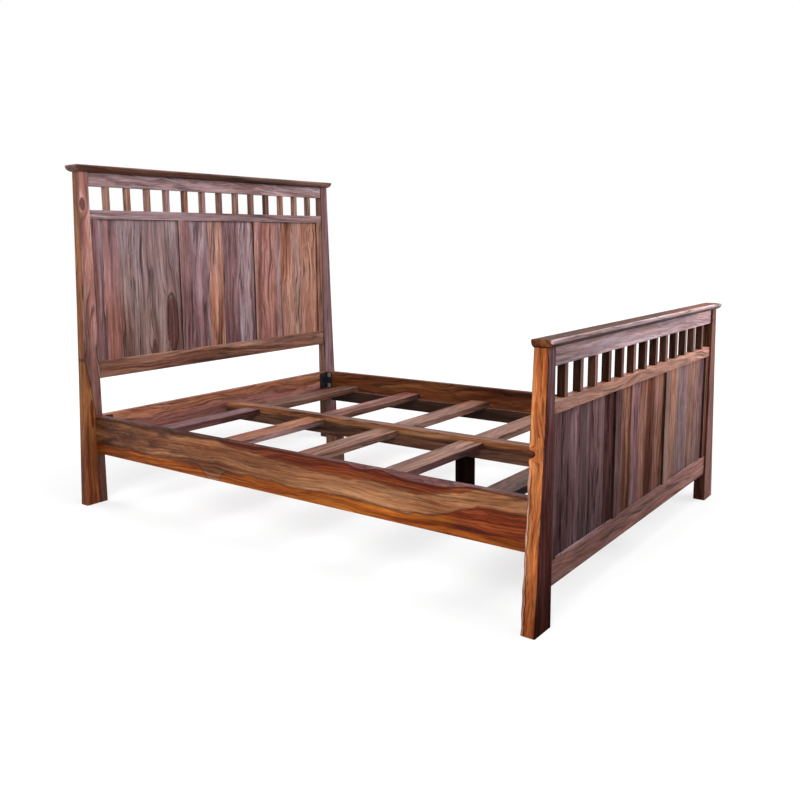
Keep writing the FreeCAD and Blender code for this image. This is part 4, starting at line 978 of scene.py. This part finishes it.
# The near foot post's arris: its bark pocket, and below it the stretch of wane

POCKET_DEPTH = 0.011
POCKET_HALF = 0.009
WANE_HALF_DEPTH = 0.0014
WANE_WAVES = (61, 23)
WANE_FADE = 0.05
ARRIS_REACH = 0.022
# Cuts through the post: coarse ones below the pocket, fine ones round it, and along the arris
COARSE_STEP, COARSE_CUTS = 0.008, 58
FINE_STEP, FINE_CUTS = 0.003, 14
ARRIS_CUTS = (0.006, 0.010, 0.015, 0.021)
SMOOTH_DEPTH, SMOOTH_HEIGHT = 0.02, 0.04
MERGE_DISTANCE = 1e-6


def edge_dent(height):
    """How deep the inner arris is worn or overgrown at a height."""
    pocket = POCKET_DEPTH * math.exp(-((height - POCKET_HEIGHT) / POCKET_HALF) ** 2)
    if height > POCKET_HEIGHT:
        return pocket
    long_wave, short_wave = WANE_WAVES
    waves = 1 + math.sin(height * long_wave) * math.sin(height * short_wave + 1)
    return pocket + WANE_HALF_DEPTH * waves * min(1, (POCKET_HEIGHT - height) / WANE_FADE)


def cut_near_arris(work, back):
    """Cut the post's faces finely enough for the dents."""
    heights = [COARSE_STEP * step for step in range(1, COARSE_CUTS + 1)]
    heights += [POCKET_HEIGHT + FINE_STEP * step for step in range(-FINE_CUTS, FINE_CUTS + 1)]
    cuts = [((0, 0, height), (0, 0, 1)) for height in heights]
    cuts += [((0, back - depth, 0), (0, 1, 0)) for depth in ARRIS_CUTS]
    for point, normal in cuts:
        everything = work.verts[:] + work.edges[:] + work.faces[:]
        bmesh.ops.bisect_plane(work, geom=everything, plane_co=point, plane_no=normal,
                               dist=MERGE_DISTANCE)


def dent_arris(work, back):
    """Push the arris in by the dent at each height, and less with the distance from it."""
    levels = {}
    for vert in work.verts:
        levels.setdefault(round(vert.co.z, 5), []).append(vert)
    for height, verts in levels.items():
        outer = min(vert.co.x for vert in verts)
        dent = edge_dent(height)
        for vert in verts:
            across, along = vert.co.x - outer, back - vert.co.y
            near = max(0, 1 - math.hypot(across, along) / ARRIS_REACH)
            vert.co.x += dent * near
            vert.co.y -= dent * near


def knotted_post(wood):
    """The near foot post again, its arris dented by a bark pocket and a waney stretch."""
    work = bmesh.new()
    work.from_mesh(NODES["footboard_post_left"].data)
    bmesh.ops.remove_doubles(work, verts=work.verts, dist=MERGE_DISTANCE)
    back = max(vert.co.y for vert in work.verts)
    cut_near_arris(work, back)
    dent_arris(work, back)
    for face in work.faces:
        middle = face.calc_center_median()
        face.smooth = (middle.y > back - SMOOTH_DEPTH
                       and abs(middle.z - POCKET_HEIGHT) < SMOOTH_HEIGHT)
    mesh = bpy.data.meshes.new("near_foot_post")
    work.to_mesh(mesh)
    work.free()
    mesh.materials.append(wood)
    post = bpy.data.objects.new("near_foot_post", mesh)
    bpy.context.scene.collection.objects.link(post)
    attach(post, "root")
    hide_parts("footboard_post_left")


def dress(name, material):
    mesh = NODES[name].data
    mesh.materials.clear()
    mesh.materials.append(material)
    for face in mesh.polygons:
        face.material_index = 0


def dress_all():
    """Steel for the fittings, then each board's own wood."""
    black = steel("black_coated_steel", (18, 18, 19), (38, 37, 37), 0.4, 0.42, 0.6)
    zinc = steel("zinc_plated_steel", (150, 148, 142), (196, 194, 188), 0.8, 0.3, 0.45)
    woods = {**HEADBOARD_WOODS, **FOOTBOARD_WOODS, **BED_FRAME_WOODS, **slat_woods()}
    for name in NODES:
        if name not in woods:
            dress(name, zinc if name == "corner_bolts" else black)
    for name, wood in woods.items():
        dress(name, wood.build())
    knotted_post(NODES["footboard_post_left"].data.materials[0])


dress_all()

# Floor and light

WORLD_LIGHT = 0.3
FLOOR_HALF = 30.0
FLOOR_GREY = 0.42
# The floor's own glow, from its level round the bed to its level far away
GLOW_NEAR, GLOW_FAR = 0.6, 0.95
GLOW_RANGE = (1.5, 6.0)
# Square area lamps: (name, place, aim, side, power)
SOFTBOXES = (
    ("left_softbox", (-4.2, -1.6, 2.6), (-0.8, 0, 0.5), 2.5, 145),
    ("right_softbox", (4.0, -3.4, 2.8), (0.3, -0.6, 0.5), 3.0, 115),
    ("rear_softbox", (-1.2, 5.2, 2.4), (0, 1.0, 0.6), 3.0, 120),
    ("overhead_softbox", (0.3, -0.9, 4.2), (0, 0.8, 0.6), 3.0, 110),
)


def seen_directly(t):
    """1 for the camera, a reflection or a refraction, 0 for light that falls on the bed."""
    path = t.node("ShaderNodeLightPath").outputs
    return t.math("MAXIMUM", path["Is Camera Ray"],
                  t.math("MAXIMUM", path["Is Glossy Ray"], path["Is Transmission Ray"]))


def add_world():
    """A white background that lights the bed only dimly."""
    world = bpy.data.worlds.new("studio")
    world.use_nodes = True
    t = Tree(world.node_tree)
    background = t.node("ShaderNodeBackground")
    t.feed(background.inputs["Color"],
           t.mix(seen_directly(t), plain_grey(WORLD_LIGHT), plain_grey(1.0)))
    background.inputs["Strength"].default_value = 1.0
    out = t.node("ShaderNodeOutputWorld")
    t.feed(out.inputs[0], background.outputs[0])
    bpy.context.scene.world = world


def floor_material():
    """Matt, and glowing for the camera so that only soft shadows stand out from white."""
    material = bpy.data.materials.new("pale_floor")
    material.use_nodes = True
    t = Tree(material.node_tree)
    shader = t.node("ShaderNodeBsdfDiffuse")
    shader.inputs["Color"].default_value = plain_grey(FLOOR_GREY)
    glow = t.node("ShaderNodeEmission")
    glow.inputs["Color"].default_value = plain_grey(1.0)
    away = t.length(t.node("ShaderNodeTexCoord").outputs["Object"])
    t.feed(glow.inputs["Strength"],
           t.times(seen_directly(t), t.spread(away, *GLOW_RANGE, GLOW_NEAR, GLOW_FAR)))
    both = t.node("ShaderNodeAddShader")
    t.feed(both.inputs[0], shader.outputs[0])
    t.feed(both.inputs[1], glow.outputs[0])
    out = t.node("ShaderNodeOutputMaterial")
    t.feed(out.inputs[0], both.outputs[0])
    return material


def add_floor():
    half = FLOOR_HALF
    mesh = bpy.data.meshes.new("floor")
    mesh.from_pydata([(-half, -half, 0), (half, -half, 0), (half, half, 0), (-half, half, 0)],
                     [], [(0, 1, 2, 3)])
    mesh.materials.append(floor_material())
    floor = bpy.data.objects.new("floor", mesh)
    bpy.context.scene.collection.objects.link(floor)


def add_softbox(name, place, aim, side, power):
    data = bpy.data.lights.new(name, "AREA")
    data.shape = "SQUARE"
    data.size = side
    data.energy = power
    lamp = bpy.data.objects.new(name, data)
    lamp.location = place
    lamp.rotation_euler = (Vector(aim) - Vector(place)).to_track_quat("-Z", "Y").to_euler()
    bpy.context.scene.collection.objects.link(lamp)


add_world()
add_floor()
for softbox in SOFTBOXES:
    add_softbox(*softbox)
bpy.context.scene.view_settings.view_transform = "Standard"
